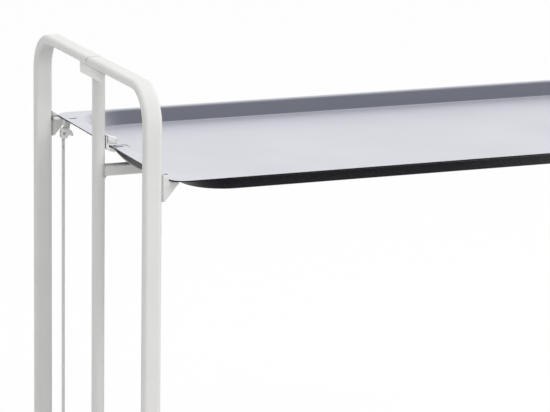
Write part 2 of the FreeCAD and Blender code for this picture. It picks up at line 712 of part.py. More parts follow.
def make_pedal(label):
    """Brake pedal: a foot plate on a shoe that swings down on to the tyre."""
    body = new_body(label)
    side = new_sketch(body, "XZ_Plane")
    outline(side, [
        ("-4.5", "-3"), ("-4", "3"), ("3", "4"), ("22", "9"), ("29", "8.5"),
        ("29", "5.5"), ("22", "5.5"), ("6", "0"), ("3", "-4"), ("-1", "-5")])
    pad(body, side, "pedal_wide", SideType="Symmetric")
    bore = new_sketch(body, "XZ_Plane")
    circle(bore, "0", "0", "pin_radius + pin_fit")
    cut(body, bore, "2 * fork_inner", SideType="Symmetric")
    return body


# ---------------------------------------------------------------- assembly

nodes.append(make_tray())

RAIL_UNDER = "rim_height + arch_rise - tube_thick"
RAIL_OVER = "low_rail + tube_thick"
BEAM_TOPS = {"upper": "rim_height - beam_drop", "lower": "low_beam_top"}
caps, saddle_screws, webs, castor_nuts = [], [], [], []


def add_wing(end, way, sign):
    """One half frame with its caps, its gusset and its castor."""
    side = f"{end}_{side_name(way, sign)}"
    half_turn = 0 if way * sign == 1 else 180
    wing = make_wing(f"wing_{side}")
    put(wing, f"{-way} * {FRAME_X}", "0", "0", half_turn)
    nodes.append(wing)
    for level, height in (("low", "low_rail + tube_thick / 2"),
                          ("top", "rim_height + arch_rise - tube_thick / 2")):
        cap = make_rail_cap(f"rail_cap_{side}_{level}", height)
        put(cap, f"{-way} * {FRAME_X}", "0", "0", half_turn)
        caps.append(cap)

    gusset = make_gusset(f"gusset_{side}", sign)
    put_at_end(gusset, way, "0", "0", "rim_height")
    nodes.append(gusset)

    castor_y = f"{sign} * castor_y"
    head = make_castor_head(f"castor_head_{side}")
    put_at_end(head, way, "0", castor_y, "0")
    nut = make_castor_nut(f"castor_nut_{side}")
    put_at_end(nut, way, "0", castor_y, RAIL_OVER)
    castor_nuts.append(nut)
    braked = sign == -1
    fork = make_fork(f"fork_{side}", braked)
    put_at_end(fork, way, "0", castor_y, "0")
    axle = make_axle(f"axle_{side}", "axle_radius")
    hub = make_hub(f"wheel_hub_{side}")
    tyre = make_tyre(f"tyre_{side}")
    for piece in (axle, hub, tyre):
        put(piece, f"{way} * (trail - {FRAME_X})", f"{way * sign} * castor_y",
            "wheel_radius", 90, (1, 0, 0))
    nodes.extend([head, fork, axle, hub, tyre])
    if braked:
        pedal = make_pedal(f"brake_pedal_{side}")
        put_at_end(pedal, way, "pedal_x", castor_y, "pedal_z")
        pin = make_axle(f"pedal_pin_{side}", "pin_radius")
        put(pin, f"{way} * (pedal_x - {FRAME_X})", f"{way * sign} * castor_y",
            "pedal_z", 90, (1, 0, 0))
        nodes.extend([pedal, pin])


def add_middle(end, way):
    """The saddles, the post and the webs on the centre line of one end frame."""
    top = make_saddle(f"top_saddle_{end}")
    put_at_end(top, way, "0", "0", RAIL_UNDER)
    foot = make_saddle(f"foot_saddle_{end}")
    put(foot, f"{-way} * {FRAME_X}", "0", RAIL_OVER, 180, (1, 0, 0) if way == 1 else (0, 1, 0))
    post = make_post(f"post_{end}")
    put_at_end(post, way, "post_offset", "0", RAIL_OVER)
    nodes.extend([top, foot, post])
    for level, (height, flip) in {"top": (f"{RAIL_UNDER} - screw_depth", 0),
                                  "foot": (f"{RAIL_OVER} + screw_depth", 180)}.items():
        for sign in (1, -1):
            screw = make_screw(f"saddle_screw_{level}_{end}_{side_name(1, sign)}")
            put(screw, f"{-way} * {FRAME_X}", f"{sign} * saddle_screw", height,
                flip, (1, 0, 0))
            saddle_screws.append(screw)
    for level, beam_top in BEAM_TOPS.items():
        web = make_beam_web(f"web_{level}_{end}")
        put_at_end(web, way, "post_offset + post_radius", "0", f"{beam_top} - beam_side")
        webs.append(web)


def add_fittings(end, way):
    """What rides on the tray at one end: the edge clip and the hanging rod's clevis."""
    clip = make_edge_clip(f"edge_clip_{end}")
    put_at_end(clip, way, "0", "clip_y", "rim_height")
    clevis = make_clevis(f"clevis_{end}")
    put_at_end(clevis, way, "0", "0", "rim_height")
    pin = make_rod_pin(f"rod_pin_{end}")
    put(pin, f"{way} * (rod_x - {FRAME_X})", f"{way} * rod_y", "rim_height - pivot_drop",
        way * 90, (1, 0, 0))
    rod = make_rod(f"hanging_rod_{end}")
    put_at_end(rod, way, "rod_x", "rod_y", "rim_height - pivot_drop")
    lip = make_grip_lip(f"grip_lip_{end}")
    put_at_end(lip, way, "0", "0", "rim_height")
    nodes.extend([clip, clevis, pin, rod, lip])


for end, way in ENDS:
    for sign in (1, -1):
        add_wing(end, way, sign)
    add_middle(end, way)
    add_fittings(end, way)

for level, beam_top in BEAM_TOPS.items():
    beam = make_beam(f"{level}_beam")
    put(beam, "0", "0", f"{beam_top} - beam_side / 2")
    nodes.append(beam)

nodes.append(group("rail_caps", caps))
nodes.append(group("saddle_screws", saddle_screws))
nodes.append(group("beam_webs", webs))
nodes.append(group("castor_nuts", castor_nuts))

doc.recompute()
for thing in doc.Objects:
    if "Invalid" in thing.State or "Error" in thing.State:
        raise RuntimeError(f"{thing.Label}: {thing.State}")
for node in nodes:
    if node.Shape.isNull() or not node.Shape.isValid() or node.Shape.Volume <= 0:
        raise RuntimeError(f"{node.Label}: its shape is not a valid solid")

os.makedirs("parts", exist_ok=True)
for node in nodes:
    node.Shape.exportStep(f"parts/{node.Label}.step")
print(len(nodes), "nodes")
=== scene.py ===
import json
import math

import bmesh
import bpy
from mathutils import Matrix, Vector


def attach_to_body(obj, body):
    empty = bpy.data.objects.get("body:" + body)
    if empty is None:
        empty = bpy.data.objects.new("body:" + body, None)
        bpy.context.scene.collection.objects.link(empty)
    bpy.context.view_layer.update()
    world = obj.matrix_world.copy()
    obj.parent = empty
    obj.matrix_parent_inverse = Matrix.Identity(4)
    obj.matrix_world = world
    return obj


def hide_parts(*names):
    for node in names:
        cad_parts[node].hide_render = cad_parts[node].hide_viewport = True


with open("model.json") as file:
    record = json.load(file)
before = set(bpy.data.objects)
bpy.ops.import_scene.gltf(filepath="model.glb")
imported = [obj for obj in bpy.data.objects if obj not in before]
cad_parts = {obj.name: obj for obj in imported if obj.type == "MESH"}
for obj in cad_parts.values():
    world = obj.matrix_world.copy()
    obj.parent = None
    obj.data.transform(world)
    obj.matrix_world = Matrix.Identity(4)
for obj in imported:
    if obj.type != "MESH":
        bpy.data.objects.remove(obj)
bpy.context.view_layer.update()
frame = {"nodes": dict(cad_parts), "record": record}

# ------------------------ sizes, in metres
# A place at an end is given as at the left one, x inboard from its leg plane; the right
# end is the same work turned half a turn about the table's middle.

MM = 0.001
RIM = 750 * MM
TRAY_HALF_X = 500 * MM
TRAY_HALF_Y = 268.5 * MM
TRAY_CORNER = 24 * MM
SHEET = 2 * MM
SHEET_ROLL = 0.35 * MM
PAN_DEPTH = 22 * MM
WALL_RUN = 22.5 * MM
END_FLAT = 26 * MM
PAN_CORNER = 85 * MM
LIP_ROUND = 12 * MM
ROOT_ROUND = 5 * MM
FRAME_X = 526 * MM
LEG_Y = 250.5 * MM
TUBE_WIDE = 30 * MM
TUBE_THICK = 14.5 * MM
BEND = 56 * MM
SEAM = 6 * MM
CAP_THICK = 5.5 * MM
FRAME_TOP = 892 * MM
LOW_RAIL = 75 * MM
FOOT_Z = LOW_RAIL + TUBE_THICK / 2
TOP_Z = FRAME_TOP - TUBE_THICK / 2
RAIL_OVER = LOW_RAIL + TUBE_THICK
RAIL_UNDER = FRAME_TOP - TUBE_THICK
POST_OFFSET = 6 * MM
POST_RADIUS = 10 * MM
BEAM_SIDE = 17 * MM
BEAM_ROUND = 2.5 * MM
BEAM_TOPS = {"upper": RIM - 29 * MM, "lower": 160 * MM}
SCREW_Y = 30 * MM
SCREW_DEPTH = 5 * MM
CASTOR_Y = 172 * MM
TRAIL = 18 * MM
WHEEL_RADIUS = 25 * MM
WHEEL_HALF = 9 * MM
ROD_X = 25.5 * MM
ROD_Y = 223 * MM
ROD_Z = RIM - 25 * MM
# each slot: its middle's place inboard of the legs and along the end, and its half length
SLOTS = ((40 * MM, 216 * MM, 6 * MM), (34.5 * MM, -216 * MM, 3.5 * MM),
         (36 * MM, -11 * MM, 6 * MM))
SLOT_RADIUS = 1.6 * MM
ENDS = (("left", 1), ("right", -1))


# ------------------------ node helpers

def tuned(made, **settings):
    """The thing itself, with its settings made."""
    for name, setting in settings.items():
        setattr(made, name, setting)
    return made


def feed(tree, made, inputs):
    """Set a node's inputs, each given as a constant or as the socket that feeds it."""
    for name, value in inputs.items():
        if isinstance(value, bpy.types.NodeSocket):
            tree.links.new(value, made.inputs[name])
        else:
            made.inputs[name].default_value = value
    return made


def node(tree, kind, inputs=None, **settings):
    return feed(tree, tuned(tree.nodes.new(kind), **settings), inputs or {})


def math_node(tree, operation, first, second):
    return node(tree, "ShaderNodeMath", {0: first, 1: second},
                operation=operation).outputs[0]


def spread(tree, value, from_low, from_high, low=0.0, high=1.0, kind="LINEAR"):
    """A value carried from one range to another and held at the ends."""
    return node(tree, "ShaderNodeMapRange", {
        "Value": value, "From Min": from_low, "From Max": from_high, "To Min": low,
        "To Max": high}, interpolation_type=kind).outputs[0]


def noise(tree, place, scale, detail, roughness=0.5):
    return node(tree, "ShaderNodeTexNoise", {
        "Vector": place, "Scale": scale, "Detail": detail,
        "Roughness": roughness}).outputs[0]


def bump(tree, height, strength, distance, **under):
    """The normal over a relief, which may lie on another relief's Normal."""
    return node(tree, "ShaderNodeBump", {
        "Height": height, "Strength": strength, "Distance": distance, **under}).outputs[0]


def mixed(tree, mask, low, high):
    """A colour between two, by a mask; either may be a socket."""
    ends = [end if isinstance(end, bpy.types.NodeSocket) else (*end, 1)
            for end in (low, high)]
    return node(tree, "ShaderNodeMix", {0: mask, 6: ends[0], 7: ends[1]},
                data_type="RGBA").outputs[2]


def layered(tree, colour, *layers):
    """A colour with others laid over it in turn, each a (mask, colour)."""
    for mask, over in layers:
        colour = mixed(tree, mask, colour, over)
    return colour


def object_place(tree):
    return node(tree, "ShaderNodeTexCoord").outputs["Object"]


def object_height(tree):
    return node(tree, "ShaderNodeSeparateXYZ", {0: object_place(tree)}).outputs[2]


def new_group(name, kind, inputs, label, socket):
    """An empty node group with one output; its input sockets and its end node."""
    group = bpy.data.node_groups.new(name, kind)
    for each, its_socket, default in inputs:
        made = group.interface.new_socket(each, in_out="INPUT", socket_type=its_socket)
        if default is not None:
            made.default_value = default
    group.interface.new_socket(label, in_out="OUTPUT", socket_type=socket)
    given, out = (group.nodes.new(end) for end in ("NodeGroupInput", "NodeGroupOutput"))
    return group, given.outputs, out


def shader_group(name, label="Mask", socket="NodeSocketFloat", **numbers):
    """An empty shader group; its number inputs are given with their usual values."""
    return new_group(name, "ShaderNodeTree",
                     [(each, "NodeSocketFloat", value) for each, value in numbers.items()],
                     label, socket)


def use_group(tree, group, **values):
    """What a shader group puts out for these values."""
    return feed(tree, node(tree, "ShaderNodeGroup", node_tree=group), values).outputs[0]


# ------------------------ shared surface effects

def build_peel():
    """The orange-peel skin of a cured coat: a fine pebble over a long, faint swell."""
    group, given, out = shader_group("coat_peel", "Normal", "NodeSocketVector",
                                     Pebble=900.0, Strength=0.05)
    place = object_place(group)
    swell = math_node(group, "MULTIPLY", noise(group, place, 60.0, 3.0), 1.5)
    height = math_node(group, "ADD", noise(group, place, given["Pebble"], 2.0), swell)
    feed(group, out, {"Normal": bump(group, height, given["Strength"], 0.0006)})
    return group


def build_wear():
    """A mask of rubbed edges: convex corners, broken up by a fine noise."""
    group, given, out = shader_group("rubbed_edges", Start=0.53, Grain=180.0)
    corner = node(group, "ShaderNodeNewGeometry").outputs["Pointiness"]
    fine = noise(group, object_place(group), given["Grain"], 4.0)
    broken = math_node(group, "MULTIPLY", math_node(group, "SUBTRACT", fine, 0.5), 0.12)
    feed(group, out, {"Mask": spread(group, math_node(group, "ADD", corner, broken),
                                     given["Start"], 0.66)})
    return group


def build_dust():
    """Soft patches of handling and dust: a broad cloud with finer specks in it."""
    group, given, out = shader_group("handling", Size=9.0, Low=0.45, High=0.75)
    cloud = noise(group, object_place(group), given["Size"], 6.0, 0.6)
    feed(group, out, {"Mask": spread(group, cloud, given["Low"], given["High"])})
    return group


def build_floor_film():
    """Grey film that castors throw up, strongest near the ground."""
    group, given, out = shader_group("floor_film", Top=0.3, Amount=0.5)
    low = spread(group, object_height(group), 0.02, given["Top"], given["Amount"], 0.0)
    cloud = noise(group, object_place(group), 35.0, 5.0, 0.65)
    feed(group, out, {"Mask": math_node(group, "MULTIPLY", low, cloud)})
    return group


def build_grain():
    """Rolling lines along X of a drawn sheet, with a slow waviness from pressing."""
    group, given, out = shader_group("sheet_grain", "Normal", "NodeSocketVector",
                                     Lines=0.1, Waves=0.1)
    place = object_place(group)
    stretched = node(group, "ShaderNodeMapping", {
        "Vector": place, "Scale": (6.0, 1400.0, 900.0)}).outputs[0]
    wavy = bump(group, noise(group, place, 3.2, 1.0), given["Waves"], 0.01)
    lined = bump(group, noise(group, stretched, 1.0, 3.0), given["Lines"], 0.0002,
                 Normal=wavy)
    feed(group, out, {"Normal": lined})
    return group


def build_painted_joint_shade():
    """Painted shade: darkening in seams, inside corners and round welds, by ambient
    occlusion, made patchy by a noise.
    """
    group, given, out = shader_group("joint_grime", Reach=0.005, Open=0.8, Shut=0.3)
    hollow = node(group, "ShaderNodeAmbientOcclusion", {"Distance": given["Reach"]},
                  samples=12).outputs["AO"]
    depth = spread(group, hollow, given["Open"], given["Shut"])
    patchy = noise(group, object_place(group), 120.0, 4.0)
    uneven = spread(group, patchy, 0.3, 0.7, 0.7, 1.0)
    feed(group, out, {"Mask": math_node(group, "MULTIPLY", depth, uneven)})
    return group


PEEL = build_peel()
WEAR = build_wear()
DUST = build_dust()
FILM = build_floor_film()
GRAIN = build_grain()
# painted shade, darkening the seams and inside corners where shade falls
PAINTED_JOINT_SHADE = build_painted_joint_shade()


# ------------------------ materials

def cleared(owner):
    """A material's or world's node tree, emptied."""
    owner.use_nodes = True
    owner.node_tree.nodes.clear()
    return owner.node_tree


def surface(name, size, low, high):
    """A new material, its tree and Principled shader, and the mask of its hand marks."""
    material = bpy.data.materials.new(name)
    tree = cleared(material)
    shader = node(tree, "ShaderNodeBsdfPrincipled")
    node(tree, "ShaderNodeOutputMaterial", {"Surface": shader.outputs[0]})
    return material, tree, shader, use_group(tree, DUST, Size=size, Low=low, High=high)


def roughened(tree, marks, clean, marked):
    """Roughness from clean to hand-marked."""
    return spread(tree, marks, 0.0, 1.0, clean, marked)


def coat(name, colour, worn, roughness, pebble, strength):
    """Cured paint: peel, hand marks, rubbed corners, a low grey film and painted shade in
    joints.
    """
    material, tree, shader, marks = surface(name, 11.0, 0.5, 0.8)
    feed(tree, shader, {
        "Base Color": layered(
            tree, colour, (marks, tuple(c * 0.955 for c in colour)),
            (use_group(tree, WEAR, Start=0.56, Grain=220.0), worn),
            (use_group(tree, FILM, Top=0.32, Amount=0.34), (0.33, 0.31, 0.28)),
            # painted shade in seams and inside corners
            (use_group(tree, PAINTED_JOINT_SHADE, Reach=0.005, Open=0.95, Shut=0.55),
             (0.10, 0.095, 0.09))),
        "Roughness": roughened(tree, marks, roughness, roughness + 0.12),
        "Normal": use_group(tree, PEEL, Pebble=pebble, Strength=strength)})
    return material


def plated(name, colour, roughness):
    """Zinc plate: soft spangle, rubbed corners that shine, and dull patches."""
    material, tree, shader, marks = surface(name, 60.0, 0.4, 0.7)
    spangle = node(tree, "ShaderNodeTexVoronoi", {
        "Vector": object_place(tree), "Scale": 420.0}).outputs["Distance"]
    feed(tree, shader, {
        "Base Color": layered(
            tree, colour, (marks, tuple(c * 0.72 for c in colour)),
            (use_group(tree, WEAR, Start=0.55, Grain=400.0), (0.78, 0.78, 0.79))),
        "Roughness": roughened(tree, marks, roughness, roughness + 0.2),
        "Normal": bump(tree, spangle, 0.08, 0.0003),
        "Metallic": 1.0})
    return material


def sheet_metal():
    """Satin sheet of the tray's upper side, with rolling lines and faint wipe marks."""
    material, tree, shader, marks = surface("satin_sheet", 5.0, 0.42, 0.8)
    feed(tree, shader, {
        "Base Color": mixed(tree, marks, (0.78, 0.785, 0.845), (0.755, 0.76, 0.82)),
        "Roughness": roughened(tree, marks, 0.36, 0.41),
        "Normal": use_group(tree, GRAIN, Lines=0.1, Waves=0.025),
        "Metallic": 1.0})
    return material


def sheet_under_and_shade():
    """Dark enamel of the tray's outside and cut edge, also laid on as painted shade in the
    slots and the grip lips' aprons; paler low down and where rubbed.
    """
    material, tree, shader, marks = surface("tray_dark_enamel", 14.0, 0.4, 0.75)
    lower = spread(tree, object_height(tree), RIM - SHEET, RIM - PAN_DEPTH)
    feed(tree, shader, {
        "Base Color": layered(
            tree, (0.0015, 0.0017, 0.004), (marks, (0.003, 0.0034, 0.007)),
            (lower, (0.012, 0.0125, 0.017)),
            (use_group(tree, WEAR, Start=0.6, Grain=300.0), (0.03, 0.03, 0.04))),
        "Roughness": roughened(tree, marks, 0.22, 0.32),
        "Normal": use_group(tree, PEEL, Pebble=700.0, Strength=0.1),
        "Specular IOR Level": 0.25})
    return material


def moulded(name, colour, roughness, grain, strength):
    """Moulded plastic or rubber: fine grain, dust, rubbed corners and painted shade in
    joints.
    """
    material, tree, shader, marks = surface(name, 40.0, 0.45, 0.8)
    feed(tree, shader, {
        "Base Color": layered(
            tree, colour, (marks, tuple(min(1.0, c * 0.85 + 0.05) for c in colour)),
            (use_group(tree, WEAR, Start=0.56, Grain=350.0),
             tuple(min(1.0, c * 1.1 + 0.03) for c in colour)),
            # painted shade in seams and inside corners
            (use_group(tree, PAINTED_JOINT_SHADE, Reach=0.01, Open=0.97, Shut=0.6),
             tuple(c * 0.12 for c in colour))),
        "Roughness": roughened(tree, marks, roughness, roughness + 0.15),
        "Normal": bump(tree, noise(tree, object_place(tree), grain, 4.0), strength,
                       0.0003)})
    return material


# one coat in two copies: painted lighter on the saddles and fittings to lift the shade that
# falls on them, darker on the tubes
LIGHTENED_COAT = coat("fitting_powder_coat", (0.85, 0.85, 0.835), (0.66, 0.65, 0.63), 0.5,
              1100.0, 0.06)
TUBE_COAT = coat("tube_powder_coat", (0.705, 0.705, 0.692), (0.6, 0.59, 0.57), 0.5,
                 1100.0, 0.06)
CLIP_WHITE = coat("clip_enamel", (0.9, 0.9, 0.89), (0.62, 0.62, 0.61), 0.3, 1500.0, 0.04)
ZINC = plated("zinc_plate", (0.68, 0.69, 0.71), 0.3)
SATIN = sheet_metal()
DARK_ENAMEL_AND_SHADE = sheet_under_and_shade()
CAP = moulded("cap_nylon", (0.72, 0.72, 0.7), 0.45, 1500.0, 0.2)
WHEEL = moulded("wheel_nylon", (0.085, 0.09, 0.10), 0.38, 1300.0, 0.2)
TYRE = moulded("tread_rubber", (0.018, 0.018, 0.02), 0.62, 2000.0, 0.35)
PEDAL = moulded("pedal_nylon", (0.03, 0.03, 0.033), 0.42, 1300.0, 0.25)

SLOT_OF = {row["node"]: row["material_slot"] for row in frame["record"]["subparts"]}
MATERIAL_OF = {"powder_coat": LIGHTENED_COAT, "tray_metal": SATIN, "zinc": ZINC, "cap_plastic": CAP,
               "clip": CLIP_WHITE, "wheel_plastic": WHEEL, "tyre": TYRE,
               "pedal_plastic": PEDAL}
BODY_OF = {name: body for body, names in frame["record"]["behaviour"]["bodies"].items()
           for name in names}


# ------------------------ mesh helpers

def new_object(name, data):
    thing = bpy.data.objects.new(name, data)
    bpy.context.scene.collection.objects.link(thing)
    return thing


def plain_mesh(thing):
    """The object with its modifiers worked into its mesh and removed."""
    bpy.context.view_layer.update()
    graph = bpy.context.evaluated_depsgraph_get()
    mesh = bpy.data.meshes.new_from_object(thing.evaluated_get(graph))
    old = thing.data
    thing.modifiers.clear()
    thing.data = mesh
    if isinstance(old, bpy.types.Mesh):
        bpy.data.meshes.remove(old)
    mesh.name = thing.name
    return thing


def opened(mesh):
    shape = bmesh.new()
    shape.from_mesh(mesh)
    return shape


def closed_as(mesh, shape):
    """The mesh, holding what the bmesh held."""
    shape.to_mesh(mesh)
    shape.free()
    return mesh


def shade_by_angle(mesh, degrees=35):
    """Smooth shading with hard edges where faces meet at more than the angle."""
    mesh.polygons.foreach_set("use_smooth", [True] * len(mesh.polygons))
    shape = opened(mesh)
    for edge in shape.edges:
        edge.smooth = not (len(edge.link_faces) == 2
                           and edge.calc_face_angle(0) > math.radians(degrees))
    closed_as(mesh, shape)


def mesh_of(name, shape, degrees=35):
    """A bmesh turned into a shaded object, its faces pointing outwards."""
    bmesh.ops.recalc_face_normals(shape, faces=shape.faces)
    mesh = closed_as(bpy.data.meshes.new(name), shape)
    shade_by_angle(mesh, degrees)
    return new_object(name, mesh)


def end_turn(way):
    """What carries a mesh made at the left end to the end it belongs to."""
    return Matrix() if way == 1 else Matrix.Rotation(math.pi, 4, "Z")


def side_name(way, sign):
    """Near is the -Y side of the table, far the +Y side."""
    return "far" if way * sign > 0 else "near"


def dress(thing, name, material=None, replaces=True):
    """Finish a piece that belongs to a CAD node and send it along with its body."""
    thing.data.materials.clear()
    thing.data.materials.append(material or MATERIAL_OF[SLOT_OF[name]])
    return attach(thing, name, replaces)


def attach(thing, name, replaces=True):
    """Ride a piece on its CAD node's body, instead of the node or beside it."""
    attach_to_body(thing, BODY_OF[name])
    if replaces:
        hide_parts(name)
    return thing


def softened(name, radius, material=None, segments=3):
    """A CAD node's own shape with merged corners and small rounds on its hard edges."""
    mesh = frame["nodes"][name].data.copy()
    shape = opened(mesh)
    bmesh.ops.remove_doubles(shape, verts=shape.verts, dist=1e-6)
    bmesh.ops.dissolve_limit(shape, angle_limit=math.radians(0.5), verts=shape.verts,
                             edges=shape.edges)
    thing = new_object(name + "_finished", closed_as(mesh, shape))
    tuned(thing.modifiers.new("rounds", "BEVEL"), width=radius, segments=segments,
          limit_method="ANGLE", angle_limit=math.radians(30), use_clamp_overlap=True,
          miter_outer="MITER_ARC")
    plain_mesh(thing)
    shade_by_angle(thing.data, 40)
    return dress(thing, name, material)


def bridge(shape, loops, closed=False):
    """Faces between neighbouring loops; a loop of one point is a pole."""
    if closed:
        loops = loops + [loops[0]]
    count = max(len(loop) for loop in loops)
    for low, high in zip(loops, loops[1:]):
        for i in range(count):
            j = (i + 1) % count
            quad = [low[i % len(low)], low[j % len(low)], high[j % len(high)],
                    high[i % len(high)]]
            corners = list(dict.fromkeys(quad))
            if len(corners) > 2:
                shape.faces.new(corners)


def capped(shape, loops):
    """Faces between neighbouring loops, and one over each end."""
    bridge(shape, loops)
    shape.faces.new(loops[0])
    shape.faces.new(loops[-1])


def strip(shape, rows):
    """Faces between neighbouring open rows of points."""
    return [shape.faces.new((upper[i], upper[i + 1], lower[i + 1], lower[i]))
            for upper, lower in zip(rows, rows[1:]) for i in range(len(upper) - 1)]


def circle(shape, radius, height, count, place=Matrix()):
    """Points round Z, or the one point on Z where the radius is nothing."""
    if radius <= 0:
        count = 1
    return [shape.verts.new(place @ Vector((radius * math.cos(a), radius * math.sin(a),
                                            height)))
            for a in (i * math.tau / count for i in range(count))]


def add_turned(shape, rings, place, segments):
    """A turned form from (radius, height) rings about Z, carried to its place."""
    bridge(shape, [circle(shape, radius, height, segments, place)
                   for radius, height in rings], closed=rings[0][0] > 0)


def rounded_rings(corners, radius, closed=False):
    """A (radius, height) outline with its corners rounded off."""
    points = [Vector(corner) for corner in corners]
    around = [points[-1], *points, points[0]] if closed else points
    rings = []
    for before, here, after in zip(around, around[1:], around[2:]):
        a, b = before - here, after - here
        reach = min(radius, a.length * 0.45, b.length * 0.45)
        start, end = here + a.normalized() * reach, here + b.normalized() * reach
        for t in (0, 0.25, 0.5, 0.75, 1):
            rings.append(tuple(start * (1 - t) ** 2 + here * 2 * t * (1 - t)
                               + end * t ** 2))
    return rings if closed else [tuple(points[0]), *rings, tuple(points[-1])]


def turned_piece(name, rings, place, segments, material=None, kind="turned"):
    shape = bmesh.new()
    add_turned(shape, rings, place, segments)
    dress(mesh_of(f"{name}_{kind}", shape), name, material)


def move(x, y, z):
    return Matrix.Translation((x, y, z))


ALONG_Y = Matrix.Rotation(-math.pi / 2, 4, "X")
AGAINST_Y = Matrix.Rotation(math.pi / 2, 4, "X")


# ------------------------ geometry trees

def geometry_group(name, numbers, others=()):
    """An empty geometry group: number inputs, other inputs and the material it ends in."""
    return new_group(name, "GeometryNodeTree", [
        *others, *((each, "NodeSocketFloat", number) for each, number in numbers.items()),
        ("Coat", "NodeSocketMaterial", None)], "Geometry", "NodeSocketGeometry")


def ended(group, last, given, out):
    """Finish a tree: real geometry only, in the given coat."""
    real = node(group, "GeometryNodeRealizeInstances", {"Geometry": last.outputs[0]})
    dressed = node(group, "GeometryNodeSetMaterial", {
        "Geometry": real.outputs[0], "Material": given["Coat"]})
    feed(group, out, {"Geometry": dressed.outputs[0]})
    return group


def build_tube_tree():
    """A flat-oval tube bent to a square C: up one leg and back along two rails."""
    numbers = {"Start": SEAM, "Reach": LEG_Y, "Low": FOOT_Z, "High": TOP_Z, "Bend": BEND,
               "Width": TUBE_WIDE, "Thickness": TUBE_THICK}
    group, given, out = geometry_group("bent_tube", numbers)
    stops = [("Start", "Low"), ("Reach", "Low"), ("Reach", "High"), ("Start", "High")]
    line = node(group, "GeometryNodeCurvePrimitiveLine")
    four = node(group, "GeometryNodeResampleCurve", {"Curve": line.outputs[0], "Count": 4})
    index = node(group, "GeometryNodeInputIndex").outputs[0]
    pick = node(group, "GeometryNodeIndexSwitch", {"Index": index}, data_type="VECTOR")
    while len(pick.index_switch_items) < len(stops):
        pick.index_switch_items.new()
    for i, (y, z) in enumerate(stops):
        spot = node(group, "ShaderNodeCombineXYZ", {"Y": given[y], "Z": given[z]})
        group.links.new(spot.outputs[0], pick.inputs[i + 1])
    placed = node(group, "GeometryNodeSetPosition", {
        "Geometry": four.outputs[0], "Position": pick.outputs[0]})
    bent = node(group, "GeometryNodeFilletCurve", {
        "Curve": placed.outputs[0], "Count": 28, "Radius": given["Bend"]}, mode="POLY")
    oval = node(group, "GeometryNodeCurvePrimitiveQuadrilateral", {
        "Width": given["Width"], "Height": given["Thickness"]})
    # a hair under half, so that the two arcs of one end don't share a point
    half = math_node(group, "MULTIPLY", given["Thickness"], 0.4995)
    profile = node(group, "GeometryNodeFilletCurve", {
        "Curve": oval.outputs[0], "Count": 14, "Radius": half}, mode="POLY")
    swept = node(group, "GeometryNodeCurveToMesh", {
        "Curve": bent.outputs[0], "Profile Curve": profile.outputs[0], "Fill Caps": True})
    return ended(group, swept, given, out)


def build_repeat_tree():
    """A small piece set on every point of a mesh, turned by the point's own angles."""
    group, given, out = geometry_group("set_on_points", {}, [
        ("Points", "NodeSocketGeometry", None), ("Piece", "NodeSocketObject", None)])
    angles = node(group, "GeometryNodeInputNamedAttribute", {"Name": "angles"},
                  data_type="FLOAT_VECTOR")
    turn = node(group, "FunctionNodeEulerToRotation", {0: angles.outputs[0]})
    piece = node(group, "GeometryNodeObjectInfo", {"Object": given["Piece"]})
    copies = node(group, "GeometryNodeInstanceOnPoints", {
        "Points": given["Points"], "Instance": piece.outputs["Geometry"],
        "Rotation": turn.outputs[0]})
    return ended(group, copies, given, out)


def build_bead_tree():
    """A weld bead along an edge: round in section, with the ripples of its pool."""
    group, given, out = geometry_group(
        "weld_bead", {"Radius": 1.6 * MM, "Pitch": 1.5 * MM, "Ripple": 0.16},
        [("Path", "NodeSocketGeometry", None)])
    path = node(group, "GeometryNodeMeshToCurve", {"Mesh": given["Path"]})
    fine = node(group, "GeometryNodeResampleCurve", {
        "Curve": path.outputs[0], "Length": 0.3 * MM}, mode="LENGTH")
    distance = node(group, "GeometryNodeSplineParameter").outputs["Length"]
    turns = math_node(group, "DIVIDE", distance, given["Pitch"])
    wave = node(group, "ShaderNodeMath", {
        0: math_node(group, "MULTIPLY", turns, math.tau)}, operation="SINE").outputs[0]
    ripple = math_node(group, "MULTIPLY", wave, given["Ripple"])
    swell = math_node(group, "ADD", 1.0, ripple)
    thick = math_node(group, "MULTIPLY", given["Radius"], swell)
    ring = node(group, "GeometryNodeCurvePrimitiveCircle", {
        "Resolution": 10, "Radius": 1.0})
    swept = node(group, "GeometryNodeCurveToMesh", {
        "Curve": fine.outputs[0], "Profile Curve": ring.outputs[0], "Scale": thick,
        "Fill Caps": True})
    return ended(group, swept, given, out)


def grown(name, tree, mesh=None, **values):
    """A plain mesh made by a geometry tree from its inputs and an optional mesh."""
    thing = new_object(name, mesh or bpy.data.meshes.new(name))
    modifier = tuned(thing.modifiers.new("shape", "NODES"), node_group=tree)
    for item in tree.interface.items_tree:
        if item.name in values:
            modifier[item.identifier] = values[item.name]
    return plain_mesh(thing)


def repeated(node_name, piece, places, degrees):
    """Copies of a piece at (place, euler angles), as the one mesh of a CAD node."""
    mesh = bpy.data.meshes.new(node_name + "_points")
    mesh.from_pydata([place for place, _ in places], [], [])
    angles = mesh.attributes.new("angles", "FLOAT_VECTOR", "POINT")
    for i, (_, turn) in enumerate(places):
        angles.data[i].vector = turn
    thing = grown(node_name + "_finished", REPEAT_TREE, mesh, Piece=piece,
                  Coat=MATERIAL_OF[SLOT_OF[node_name]])
    bpy.data.objects.remove(piece)
    shade_by_angle(thing.data, degrees)
    dress(thing, node_name)


TUBE_TREE = build_tube_tree()
REPEAT_TREE = build_repeat_tree()
BEAD_TREE = build_bead_tree()


# ------------------------ tray

def along(first, last, steps):
    """Even points on a line, from the first one up to but not with the last."""
    return [tuple(a + (b - a) * (i / steps) for a, b in zip(first, last))
            for i in range(steps)]


